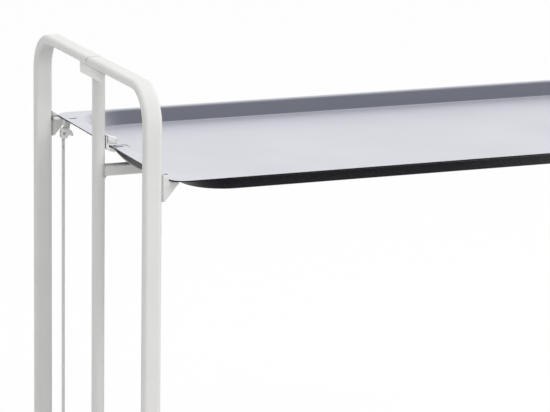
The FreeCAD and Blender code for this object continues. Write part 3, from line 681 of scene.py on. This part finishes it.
def round_rectangle(half_x, half_y, radius, steps, side_steps):
    """Points round a rectangle with round corners, the same count for every size."""
    signs = ((1, 1), (-1, 1), (-1, -1), (1, -1))

    def on_arc(quarter, share):
        (sx, sy), angle = signs[quarter % 4], (quarter + share) * math.pi / 2
        return (sx * (half_x - radius) + radius * math.cos(angle),
                sy * (half_y - radius) + radius * math.sin(angle))

    points = []
    for quarter in range(4):
        points += [on_arc(quarter, i / steps) for i in range(steps + 1)]
        points += along(on_arc(quarter, 1), on_arc(quarter + 1, 0), side_steps)[1:]
    return points


def pan_section():
    """(inset, depth, slope) over the round lip, down the wall and on to the floor."""
    slope = math.atan2(PAN_DEPTH, WALL_RUN)
    section = []
    for i in range(9):
        a = slope * i / 8
        section.append((LIP_ROUND * (math.sin(a) - math.tan(slope / 2)),
                        LIP_ROUND * (1 - math.cos(a)), a))
    reach = WALL_RUN + ROOT_ROUND * math.tan(slope / 2)
    for i in range(13):
        a = slope * (1 - i / 12)
        section.append((reach - ROOT_ROUND * math.sin(a),
                        PAN_DEPTH - ROOT_ROUND * (1 - math.cos(a)), a))
    return section


def end_outline(cross_x, roll):
    """Round a tray end: from the far long side, over two corners, to the near one."""
    half_x, half_y, radius = TRAY_HALF_X - roll, TRAY_HALF_Y - roll, TRAY_CORNER - roll
    steps = 12
    corners = [(half_x - radius + radius * math.cos(a),
                sy * (half_y - radius) + radius * math.sin(a))
               for sy, first in ((1, math.pi / 2), (-1, 0))
               for a in (first - i / steps * math.pi / 2 for i in range(steps + 1))]
    return [(cross_x, half_y), *corners, (cross_x, -half_y)]


def two_faced(name, shape):
    """An object in satin sheet, with the dark enamel, also used as painted shade, on its
    faces of material 1.
    """
    mesh = closed_as(bpy.data.meshes.new(name), shape)
    mesh.materials.append(SATIN)
    mesh.materials.append(DARK_ENAMEL_AND_SHADE)
    return new_object(name, mesh)


def make_tray():
    """The pressed sheet as one closed shell: both skins and a rolled cut edge."""
    shape = bmesh.new()
    section = pan_section()
    lip_reach = -section[0][0]
    mouth_x = TRAY_HALF_X - END_FLAT
    mouth_y = TRAY_HALF_Y - SHEET_ROLL - lip_reach
    steps, side_steps = 24, 10
    skins = []
    for thickness in (0, SHEET):
        loops = []
        for inset, depth, slope in section:
            out = inset - thickness * math.sin(slope)
            drop = depth + thickness * math.cos(slope)
            loops.append([shape.verts.new((x, y, RIM - drop)) for x, y in round_rectangle(
                mouth_x - out, mouth_y - out, PAN_CORNER - out, steps, side_steps)])
        bridge(shape, loops)
        shape.faces.new(loops[-1])
        skins.append(loops[0])
    count = len(skins[0])
    quarter = steps + side_steps
    cross_x = mouth_x - PAN_CORNER
    rolls = ((SHEET_ROLL, 0), (0, SHEET_ROLL), (0, SHEET - SHEET_ROLL),
             (SHEET_ROLL, SHEET))

    # each end: a flat plate between the pan's mouth and the outline, on both skins
    edge_faces, levels_at = [], {}
    for sign, first in ((1, 3 * quarter), (-1, quarter)):
        levels = []
        for roll, drop in rolls:
            outline = [(sign * x, sign * y) for x, y in end_outline(cross_x, roll)]
            levels.append([shape.verts.new((x, y, RIM - drop)) for x, y in outline])
        # the outline's two ends are the mouth's own points where it meets a long side
        mouth = [(first + i) % count for i in range(2 * steps + side_steps + 1)]
        for level, loop in ((0, skins[0]), (3, skins[1])):
            for place, index in ((0, mouth[-1]), (-1, mouth[0])):
                shape.verts.remove(levels[level][place])
                levels[level][place] = loop[index]
            shape.faces.new(levels[level] + [loop[i] for i in mouth[1:-1]])
        edge_faces += strip(shape, levels)
        levels_at[sign] = levels

    # each long side: the cut edge between the two ends
    for side in (1, -1):
        start = steps if side == 1 else steps + 2 * quarter
        rows = [loop[start:start + side_steps + 1] for loop in skins]
        for level in (1, 2):
            roll, drop = rolls[level]
            y, z = side * (TRAY_HALF_Y - roll), RIM - drop
            between = [shape.verts.new((point.co.x, y, z)) for point in rows[0][1:-1]]
            rows.insert(level, [levels_at[side][level][0], *between,
                                levels_at[-side][level][-1]])
        edge_faces += strip(shape, rows)
    bmesh.ops.recalc_face_normals(shape, faces=shape.faces)
    for face in shape.faces:
        face.material_index = 1 if face.normal.z < 0.05 else 0
    for face in edge_faces:
        face.material_index = 1
    thing = two_faced("tray_pressing", shape)
    cutter = make_slot_cutter()
    tuned(thing.modifiers.new("slots", "BOOLEAN"), object=cutter,
          operation="DIFFERENCE", solver="EXACT")
    plain_mesh(thing)
    bpy.data.objects.remove(cutter)
    shade_by_angle(thing.data, 35)
    level_normal = 0.99999
    for face in thing.data.polygons:
        if abs(face.normal.z) > level_normal:
            face.use_smooth = False
    attach(thing, "tray")


def stadium(straight, radius, steps):
    """Points round a long outline with half-round ends."""
    return [(side * (straight + radius * math.cos(a)), side * radius * math.sin(a))
            for side in (1, -1)
            for a in (-math.pi / 2 + math.pi * i / steps for i in range(steps + 1))]


def make_slot_cutter():
    """Six round-ended prisms, one for each slot in the tray's ends."""
    shape = bmesh.new()
    clear, eased = 5 * MM, 0.6 * MM
    for way in (1, -1):
        for inset, reach, half in SLOTS:
            x, y = way * (inset - FRAME_X), way * reach
            loops = []
            for lift, more in ((-clear, 0), (-eased, 0), (0, eased), (clear, eased)):
                loops.append([shape.verts.new((x + u, y + v, RIM + lift)) for u, v in
                              stadium(half - SLOT_RADIUS, SLOT_RADIUS + more, 10)])
            capped(shape, loops)
    bmesh.ops.recalc_face_normals(shape, faces=shape.faces)
    # the slot walls take the dark enamel, as painted shade inside the slots
    for face in shape.faces:
        face.material_index = 1
    return two_faced("slot_cutter", shape)


def make_edge_wire(end, way):
    """Thin wire that runs in from the edge clip and bends towards the near side."""
    start_x, bend_x, y, bend, tail = 30 * MM, 51.5 * MM, -1 * MM, 6 * MM, 8 * MM
    points = [(start_x - FRAME_X, y)]
    for i in range(9):
        a = i / 8 * math.pi / 2
        points.append((bend_x - bend + bend * math.sin(a) - FRAME_X,
                       y - bend + bend * math.cos(a)))
    lean, lift = 1 * MM, 0.2 * MM
    points.append((bend_x - FRAME_X + lean, y - bend - tail))
    mesh = path_mesh("edge_wire", [(px, py, RIM + lift) for px, py in points])
    wire = grown(f"edge_wire_{end}", BEAD_TREE, mesh, Radius=0.45 * MM, Ripple=0.0,
                 Coat=ZINC)
    wire.data.transform(end_turn(way))
    shade_by_angle(wire.data, 60)
    dress(wire, "tray", ZINC, replaces=False)


def make_grip_lip(end, way):
    """Bowed lip under the end edge: an apron painted dark as shade, set back inside a pale
    hem in the lightened coat.
    """
    name = f"grip_lip_{end}"
    thing = softened(name, 0.35 * MM, LIGHTENED_COAT, 2)
    thing.data.materials.append(DARK_ENAMEL_AND_SHADE)
    hem_depth, margin = 1.5 * MM, 0.1 * MM
    half, depth, middle = 92 * MM, 10 * MM, -100 * MM
    bow = (half * half + depth * depth) / (2 * depth)
    centre_z = RIM - SHEET - depth + bow
    for face in thing.data.polygons:
        centre = end_turn(way) @ face.center
        reach = math.hypot(centre.y - middle, centre.z - centre_z)
        # the apron inside the hem is painted dark as shade
        if reach < bow - hem_depth - margin:
            face.material_index = 1


# ------------------------ end frames

def ring_near_ends(mesh):
    """Loops just behind the cut ends, so that only the ends count as worn edges."""
    shape = opened(mesh)
    bmesh.ops.bisect_plane(
        shape, geom=[*shape.verts, *shape.edges, *shape.faces],
        plane_co=(0, SEAM + 1.5 * MM, 0), plane_no=(0, 1, 0))
    closed_as(mesh, shape)


def make_wing(end, way, sign):
    name = f"wing_{end}_{side_name(way, sign)}"
    thing = grown(name + "_tube", TUBE_TREE, Coat=TUBE_COAT)
    ring_near_ends(thing.data)
    turn = Matrix.Rotation(0 if way * sign == 1 else math.pi, 4, "Z")
    thing.data.transform(move(-way * FRAME_X, 0, 0) @ turn)
    shade_by_angle(thing.data, 50)
    dress(thing, name, TUBE_COAT)


def make_rail_caps():
    """Eight plugs with deep rounds, where the two half frames meet."""
    shape = bmesh.new()
    round_off, steps = 2.5 * MM, 6
    half_wide, half_thick = TUBE_WIDE / 2, TUBE_THICK / 2
    levels = [(0, SEAM)]
    for i in range(steps + 1):
        a = i / steps * math.pi / 2
        levels.append((round_off * (1 - math.cos(a)),
                       SEAM - CAP_THICK + round_off * (1 - math.sin(a))))
    loops = [[shape.verts.new((x, y, z)) for x, z in
              stadium(half_wide - half_thick, half_thick - inset, 16)]
             for inset, y in levels]
    capped(shape, loops)
    piece = mesh_of("rail_cap", shape, 50)
    places = [((-way * FRAME_X, 0, height), (0, 0, turn))
              for _, way in ENDS for height in (FOOT_Z, TOP_Z) for turn in (0, math.pi)]
    repeated("rail_caps", piece, places, 50)


def make_post(end, way):
    """Round tube between the rails, ringed closely so that only its ends count as worn."""
    length, rings_along = RAIL_UNDER - RAIL_OVER, 60
    rings = [(0, RAIL_OVER)]
    rings += [(POST_RADIUS, RAIL_OVER + length * i / rings_along)
              for i in range(rings_along + 1)]
    rings.append((0, RAIL_UNDER))
    turned_piece(f"post_{end}", rings, end_turn(way) @ move(POST_OFFSET - FRAME_X, 0, 0),
                 96, TUBE_COAT, "tube")


def beam_reach(y):
    """How far from the table's middle a beam meets the round posts, at a distance y."""
    return FRAME_X - POST_OFFSET - math.sqrt(POST_RADIUS ** 2 - y * y)


def make_beam(level, top):
    """Square tube with rolled corners, coped to sit against both round posts."""
    shape = bmesh.new()
    half, runs = BEAM_SIDE / 2, 24
    profile = round_rectangle(half, half, BEAM_ROUND, 8, 8)
    loops = []
    for run in range(runs + 1):
        share = 2 * run / runs - 1
        loops.append([shape.verts.new((share * beam_reach(y), y, top - half + z))
                      for y, z in profile])
    bridge(shape, loops)
    dress(mesh_of(f"{level}_beam_tube", shape), f"{level}_beam", TUBE_COAT)


def path_mesh(name, points, closed=False):
    """Points joined by edges in their order."""
    mesh = bpy.data.meshes.new(name + "_path")
    count = len(points)
    edges = [(i, i + 1) for i in range(count - 1)] + ([(count - 1, 0)] if closed else [])
    mesh.from_pydata(points, edges, [])
    return mesh


def add_bead(name, node_name, points, radius, closed=False):
    bead = grown(name, BEAD_TREE, path_mesh(name, points, closed), Radius=radius,
                 Coat=TUBE_COAT)
    shade_by_angle(bead.data, 70)
    dress(bead, node_name, TUBE_COAT, replaces=False)


def make_beam_beads(level, top):
    """Fillet weld round each end of a beam, where it meets its post."""
    half = BEAM_SIDE / 2
    corners = [(half, half), (-half, half), (-half, -half), (half, -half)]
    square = [point for pair in zip(corners, corners[1:] + corners[:1])
              for point in along(*pair, 8)]
    for end, way in ENDS:
        around = [(-way * beam_reach(y), y, top - half + z) for y, z in square]
        add_bead(f"weld_{level}_{end}", f"{level}_beam", around, 1.3 * MM, closed=True)


def make_gusset(end, way, sign):
    """Bracket with softened edges, its back edge welded down the leg."""
    name = f"gusset_{end}_{side_name(way, sign)}"
    softened(name, 0.9 * MM, TUBE_COAT)
    web_half, x = 2.5 * MM, TUBE_WIDE / 2 + 0.2 * MM
    heights = [RIM + rise * MM for rise in (6.5, -8, -20, -31.5)]
    for face, side in (("outer", 1), ("inner", -1)):
        y = sign * (LEG_Y + side * web_half)
        path = [tuple(end_turn(way) @ Vector((x - FRAME_X, y, z))) for z in heights]
        add_bead(f"weld_{face}_{name}", name, path, 1.2 * MM)


def make_saddle_screws():
    """Button-head screws with a round socket, through the saddles into the rails."""
    shape = bmesh.new()
    shank, head, dome, socket, deep = 2 * MM, 3.6 * MM, 3 * MM, 1.3 * MM, 1.6 * MM
    rings = [(0, SCREW_DEPTH), (shank, SCREW_DEPTH), (shank, 0), (head, 0)]
    rings += [(head * math.cos(a) * 0.999, -0.3 * dome - 0.7 * dome * math.sin(a))
              for a in (i * math.pi / 20 for i in range(8))]
    rings += [(socket * 1.25, -dome), (socket, -dome + 0.2 * MM), (socket, deep - dome),
              (0, deep - dome)]
    add_turned(shape, rings, Matrix(), 24)
    piece = mesh_of("saddle_screw", shape, 40)
    places = []
    for _, way in ENDS:
        for sign in (1, -1):
            x, y = -way * FRAME_X, sign * SCREW_Y
            places.append(((x, y, RAIL_UNDER - SCREW_DEPTH), (0, 0, 0)))
            places.append(((x, y, RAIL_OVER + SCREW_DEPTH), (math.pi, 0, 0)))
    repeated("saddle_screws", piece, places, 40)


def make_castor_nuts():
    """Hexagon nuts with chamfered corners and a plain bore for the stem."""
    shape = bmesh.new()
    corner, bore, thick, slope = 9.25 * MM, 5 * MM, 5 * MM, 1 * MM
    low, high = (circle(shape, corner, height, 6) for height in (slope / 2, thick - slope))
    bridge(shape, [low, high])
    bores = []
    for hexa, height in ((low, 0), (high, thick)):
        face_ring = circle(shape, 0.87 * corner, height, 36)
        for i in range(6):
            arc = [face_ring[(i * 6 + k) % 36] for k in range(7)]
            here, following = hexa[i], hexa[(i + 1) % 6]
            shape.faces.new((here, arc[3], following))
            for k in range(6):
                shape.faces.new((here if k < 3 else following, arc[k], arc[k + 1]))
        bores.append(circle(shape, bore, height, 36))
        bridge(shape, [face_ring, bores[-1]])
    bridge(shape, bores)
    piece = mesh_of("castor_nut", shape, 25)
    places = [((-way * FRAME_X, sign * CASTOR_Y, RAIL_OVER), (0, 0, 0))
              for _, way in ENDS for sign in (1, -1)]
    repeated("castor_nuts", piece, places, 25)


# ------------------------ castors

def riveted_rings(radius):
    """A pin across a fork, domed over at both ends."""
    reach, proud = 12.5 * MM, 2 * MM
    head = 1.3 * radius + proud / 2
    dome = [(0, -reach - proud), (head * 0.6, -reach - proud * 0.92),
            (head * 0.9, -reach - proud * 0.55), (head, -reach - 0.1 * MM),
            (radius, -reach)]
    return dome + [(r, -h) for r, h in reversed(dome)]


def make_castor(end, way, sign):
    """One castor: head with stem, pressed fork, axle, ribbed wheel and tyre."""
    side = f"{end}_{side_name(way, sign)}"
    turn = end_turn(way)
    here = turn @ move(-FRAME_X, sign * CASTOR_Y, 0)
    crown, thick = 68.5 * MM, 3 * MM
    head, stem, pin, flange, gap = 15 * MM, 5 * MM, 4 * MM, 6.5 * MM, 0.5 * MM
    under = crown - thick
    rings = rounded_rings([
        (0, under - 2.5 * MM), (flange, under - 2.5 * MM), (flange, under - gap),
        (pin, under - gap), (pin, crown + gap), (head - 2 * MM, crown + gap),
        (head, crown + gap + 2 * MM), (head, LOW_RAIL - 1.2 * MM),
        (head - 1.2 * MM, LOW_RAIL), (stem, LOW_RAIL)], 0.8 * MM)
    turns, pitch, start = 7, 0.9 * MM, RAIL_OVER + 0.4 * MM
    for i in range(turns):
        rings += [(stem, start + i * pitch), (stem - 0.45 * MM, start + (i + 0.5) * pitch)]
    rings += [(stem, start + turns * pitch - 0.2 * MM), (0, start + turns * pitch)]
    turned_piece(f"castor_head_{side}", rings, here, 72)

    softened(f"fork_{side}", 0.9 * MM)

    wheel = turn @ move(TRAIL - FRAME_X, sign * CASTOR_Y, WHEEL_RADIUS) @ ALONG_Y
    turned_piece(f"axle_{side}", riveted_rings(3 * MM), wheel, 40)
    make_hub(side, wheel)
    half = WHEEL_HALF
    tread = rounded_rings([
        (18 * MM, 1 * MM - half), (22 * MM, -half), (24.4 * MM, 2.5 * MM - half),
        (WHEEL_RADIUS, 5 * MM - half), (WHEEL_RADIUS, -0.6 * MM),
        (WHEEL_RADIUS - 0.9 * MM, 0), (WHEEL_RADIUS, 0.6 * MM),
        (WHEEL_RADIUS, half - 5 * MM), (24.4 * MM, half - 2.5 * MM), (22 * MM, half),
        (18 * MM, half - 1 * MM)], 0.9 * MM, closed=True)
    turned_piece(f"tyre_{side}", tread, wheel, 96)
    if f"brake_pedal_{side}" in frame["nodes"]:
        make_pedal(side, turn, sign)


def make_hub(side, wheel):
    """Moulded wheel centre: boss, dished web, rim and ribs on both faces."""
    shape = bmesh.new()
    half, bore = WHEEL_HALF, 3.05 * MM
    body = rounded_rings([
        (bore, -half), (7 * MM, -half), (8 * MM, -3 * MM), (15 * MM, -3 * MM),
        (16 * MM, 1 * MM - half), (18 * MM, 1 * MM - half), (18 * MM, half - 1 * MM),
        (16 * MM, half - 1 * MM), (15 * MM, 3 * MM), (8 * MM, 3 * MM), (7 * MM, half),
        (bore, half)], 0.7 * MM, closed=True)
    add_turned(shape, body, wheel, 80)
    ribs, half_rib = 6, 0.9 * MM
    inner, outer, low, high = 7 * MM, 15.8 * MM, 2.6 * MM, 7.2 * MM
    for face in (1, -1):
        for i in range(ribs):
            spin = wheel @ Matrix.Rotation((i + (face < 0) * 0.5) * math.tau / ribs, 4, "Z")
            corners = [shape.verts.new(spin @ Vector((r, w, face * h)))
                       for w in (-half_rib, half_rib)
                       for r, h in ((inner, low), (outer, low), (outer, high - 1.2 * MM),
                                    (inner, high))]
            capped(shape, [corners[:4], corners[4:]])
    dress(mesh_of(f"wheel_hub_{side}_moulded", shape, 30), f"wheel_hub_{side}")


def make_pedal(side, turn, sign):
    """Brake pedal with a ribbed foot plate, on its riveted pin."""
    name = f"brake_pedal_{side}"
    softened(name, 0.9 * MM)
    pedal_x, pedal_z = 32 * MM, 58 * MM
    place = turn @ move(pedal_x - FRAME_X, sign * CASTOR_Y, pedal_z)
    turned_piece(f"pedal_pin_{side}", riveted_rings(1.5 * MM), place @ ALONG_Y, 32)
    shape = bmesh.new()
    top, half_wide, high, half_thick = 8.75 * MM, 7 * MM, 0.35 * MM, 0.45 * MM
    for i in range(3):
        x = (22.6 + 1.7 * i) * MM
        lift = top - (x - 22 * MM) * 0.5 / 7  # the plate falls 0.5 mm in 7
        corners = []
        for w in (-half_wide, half_wide):
            corners.append([shape.verts.new(place @ Vector((x + dx, w, lift + dz)))
                            for dx, dz in ((-half_thick, -high), (half_thick, -high),
                                           (half_thick * 0.5, high),
                                           (-half_thick * 0.5, high))])
        capped(shape, corners)
    grips = mesh_of(f"pedal_grips_{side}", shape, 30)
    dress(grips, name, replaces=False)


# ------------------------ fittings under the tray

def make_rod_pin(end, way):
    reach, proud, radius, head = 5 * MM, 1.6 * MM, 1.5 * MM, 2.8 * MM
    rings = rounded_rings([
        (0, -reach - proud), (0.7 * head, -reach - proud), (head, -reach - proud / 2),
        (head, -reach), (radius, -reach), (radius, reach), (1.5 * radius, reach),
        (radius, reach + proud), (0, reach + proud)], 0.4 * MM)
    place = end_turn(way) @ move(ROD_X - FRAME_X, ROD_Y, ROD_Z)
    turned_piece(f"rod_pin_{end}", rings, place @ AGAINST_Y, 32)


# ------------------------ build

make_tray()
make_rail_caps()
make_saddle_screws()
make_castor_nuts()
for level, top in BEAM_TOPS.items():
    make_beam(level, top)
    make_beam_beads(level, top)
softened("beam_webs", 0.5 * MM)
for end, way in ENDS:
    for sign in (1, -1):
        make_wing(end, way, sign)
        make_gusset(end, way, sign)
        make_castor(end, way, sign)
    for name, radius in ((f"top_saddle_{end}", 1.8), (f"foot_saddle_{end}", 1.8),
                         (f"edge_clip_{end}", 0.5), (f"clevis_{end}", 0.5)):
        softened(name, radius * MM)
    make_post(end, way)
    softened(f"hanging_rod_{end}", 0.35 * MM, TUBE_COAT, 2)
    make_rod_pin(end, way)
    make_edge_wire(end, way)
    make_grip_lip(end, way)


# ------------------------ stage, light, camera

def ray_kinds(tree):
    """Light Path, and 1 for the rays that show a background in gloss or through glass."""
    path = tree.nodes.new("ShaderNodeLightPath").outputs
    return path, math_node(tree, "MAXIMUM", path["Is Glossy Ray"],
                           path["Is Transmission Ray"])


def make_stage():
    """A plain floor, nearly white to the eye, with a faint trace of the shadow."""
    shape = bmesh.new()
    bmesh.ops.create_grid(shape, x_segments=1, y_segments=1, size=30)
    mesh = closed_as(bpy.data.meshes.new("studio_floor"), shape)
    floor = new_object("studio_floor", mesh)
    material = bpy.data.materials.new("floor_paint")
    tree = cleared(material)
    path, mirrored = ray_kinds(tree)
    share = math_node(tree, "MAXIMUM", mirrored,
                      math_node(tree, "MULTIPLY", path["Is Camera Ray"], 0.88))
    # painted shadow: gloss shows the floor dim under the table and white further out
    squeezed = node(tree, "ShaderNodeMapping", {
        "Vector": object_place(tree), "Scale": (1.0, 1.5, 1.0)})
    away = node(tree, "ShaderNodeVectorMath", {0: squeezed.outputs[0]}, operation="LENGTH")
    gloss_painted_shadow = spread(tree, away.outputs["Value"], 0.35, 1.0, -0.88, 0.0, "SMOOTHSTEP")
    strength = math_node(tree, "ADD", 1.0, math_node(tree, "MULTIPLY", mirrored, gloss_painted_shadow))
    paint = node(tree, "ShaderNodeBsdfDiffuse", {"Color": (0.8, 0.8, 0.8, 1)})
    glow = node(tree, "ShaderNodeEmission", {
        "Color": (1, 1, 1, 1), "Strength": strength})
    blend = node(tree, "ShaderNodeMixShader", {
        0: share, 1: paint.outputs[0], 2: glow.outputs[0]})
    node(tree, "ShaderNodeOutputMaterial", {"Surface": blend.outputs[0]})
    floor.data.materials.append(material)


def make_world():
    """White to the eye, a sky that lights most from overhead, and a dimmer one in gloss."""
    world = bpy.data.worlds.new("studio")
    bpy.context.scene.world = world
    tree = cleared(world)
    path, in_gloss = ray_kinds(tree)
    aim = node(tree, "ShaderNodeSeparateXYZ", {
        0: node(tree, "ShaderNodeTexCoord").outputs["Generated"]}).outputs
    horizon = spread(tree, aim[2], 0.25, 0.5, 1.0, 0.0, "SMOOTHSTEP")
    behind = spread(tree, aim[1], -0.15, 0.85)
    mirrored = mixed(tree, math_node(tree, "MAXIMUM", horizon, behind),
                     (0.112, 0.119, 0.15), (1.0, 1.0, 1.0))
    high = spread(tree, aim[2], 0.1, 0.9, 0.3, 1.6)
    sideways = spread(tree, aim[0], -0.9, 0.1, 0.55, 1.0)
    seen = math_node(tree, "MAXIMUM", path["Is Camera Ray"], in_gloss)
    soft = math_node(tree, "MULTIPLY", path["Is Diffuse Ray"],
                     math_node(tree, "MULTIPLY", high, sideways))
    total = math_node(tree, "ADD", seen, soft)
    sky = node(tree, "ShaderNodeBackground", {
        "Color": mixed(tree, path["Is Glossy Ray"], (1.0, 1.0, 1.0), mirrored),
        "Strength": total})
    node(tree, "ShaderNodeOutputWorld", {"Surface": sky.outputs[0]})


def make_lamp(name, place, aim, size, power):
    """A soft round lamp that lights the object but doesn't show in its gloss."""
    light = tuned(bpy.data.lights.new(name, "AREA"), shape="DISK", size=size,
                  energy=power)
    lamp = new_object(name, light)
    lamp.location = place
    lamp.rotation_euler = (Vector(aim) - Vector(place)).to_track_quat("-Z", "Y").to_euler()
    lamp.visible_glossy = False


def make_camera():
    """The viewpoint that a fit of the legs, rails and tray edges gave."""
    photo_width = 550
    focal_pixels = 3139.3
    eye_from_legs, eye_y, eye_z = -1.59026, -4.4652, 1.7680
    yaw, pitch, roll = math.radians(22.98), math.radians(13.17), math.radians(0.9)
    look = Vector((math.sin(yaw) * math.cos(pitch), math.cos(yaw) * math.cos(pitch),
                   -math.sin(pitch)))
    level = Vector((math.cos(yaw), -math.sin(yaw), 0))
    upright = level.cross(look)
    right = math.cos(roll) * level + math.sin(roll) * upright
    up = math.cos(roll) * upright - math.sin(roll) * level
    data = bpy.data.cameras.new("photo_camera")
    data.sensor_width = 36.0
    data.lens = data.sensor_width * focal_pixels / photo_width
    data.clip_start, data.clip_end = 0.1, 100.0
    camera = new_object("photo_camera", data)
    turn = Matrix((right, up, -look)).transposed().to_4x4()
    camera.matrix_world = move(eye_from_legs - FRAME_X, eye_y, eye_z) @ turn
    bpy.context.scene.camera = camera


make_stage()
make_world()
make_lamp("key_lamp", (2.3, -2.6, 4.2), (0, 0, 0.7), 2.2, 76)
make_lamp("fill_lamp", (-3.6, -0.6, 2.0), (0, 0, 0.7), 2.0, 2)
make_lamp("side_lamp", (3.4, -1.3, 0.7), (0, 0, 0.5), 2.0, 8)
make_lamp("low_lamp", (1.4, -4.2, 0.9), (0, 0, 0.5), 2.4, 5)
make_camera()
bpy.context.scene.view_settings.view_transform = "Standard"
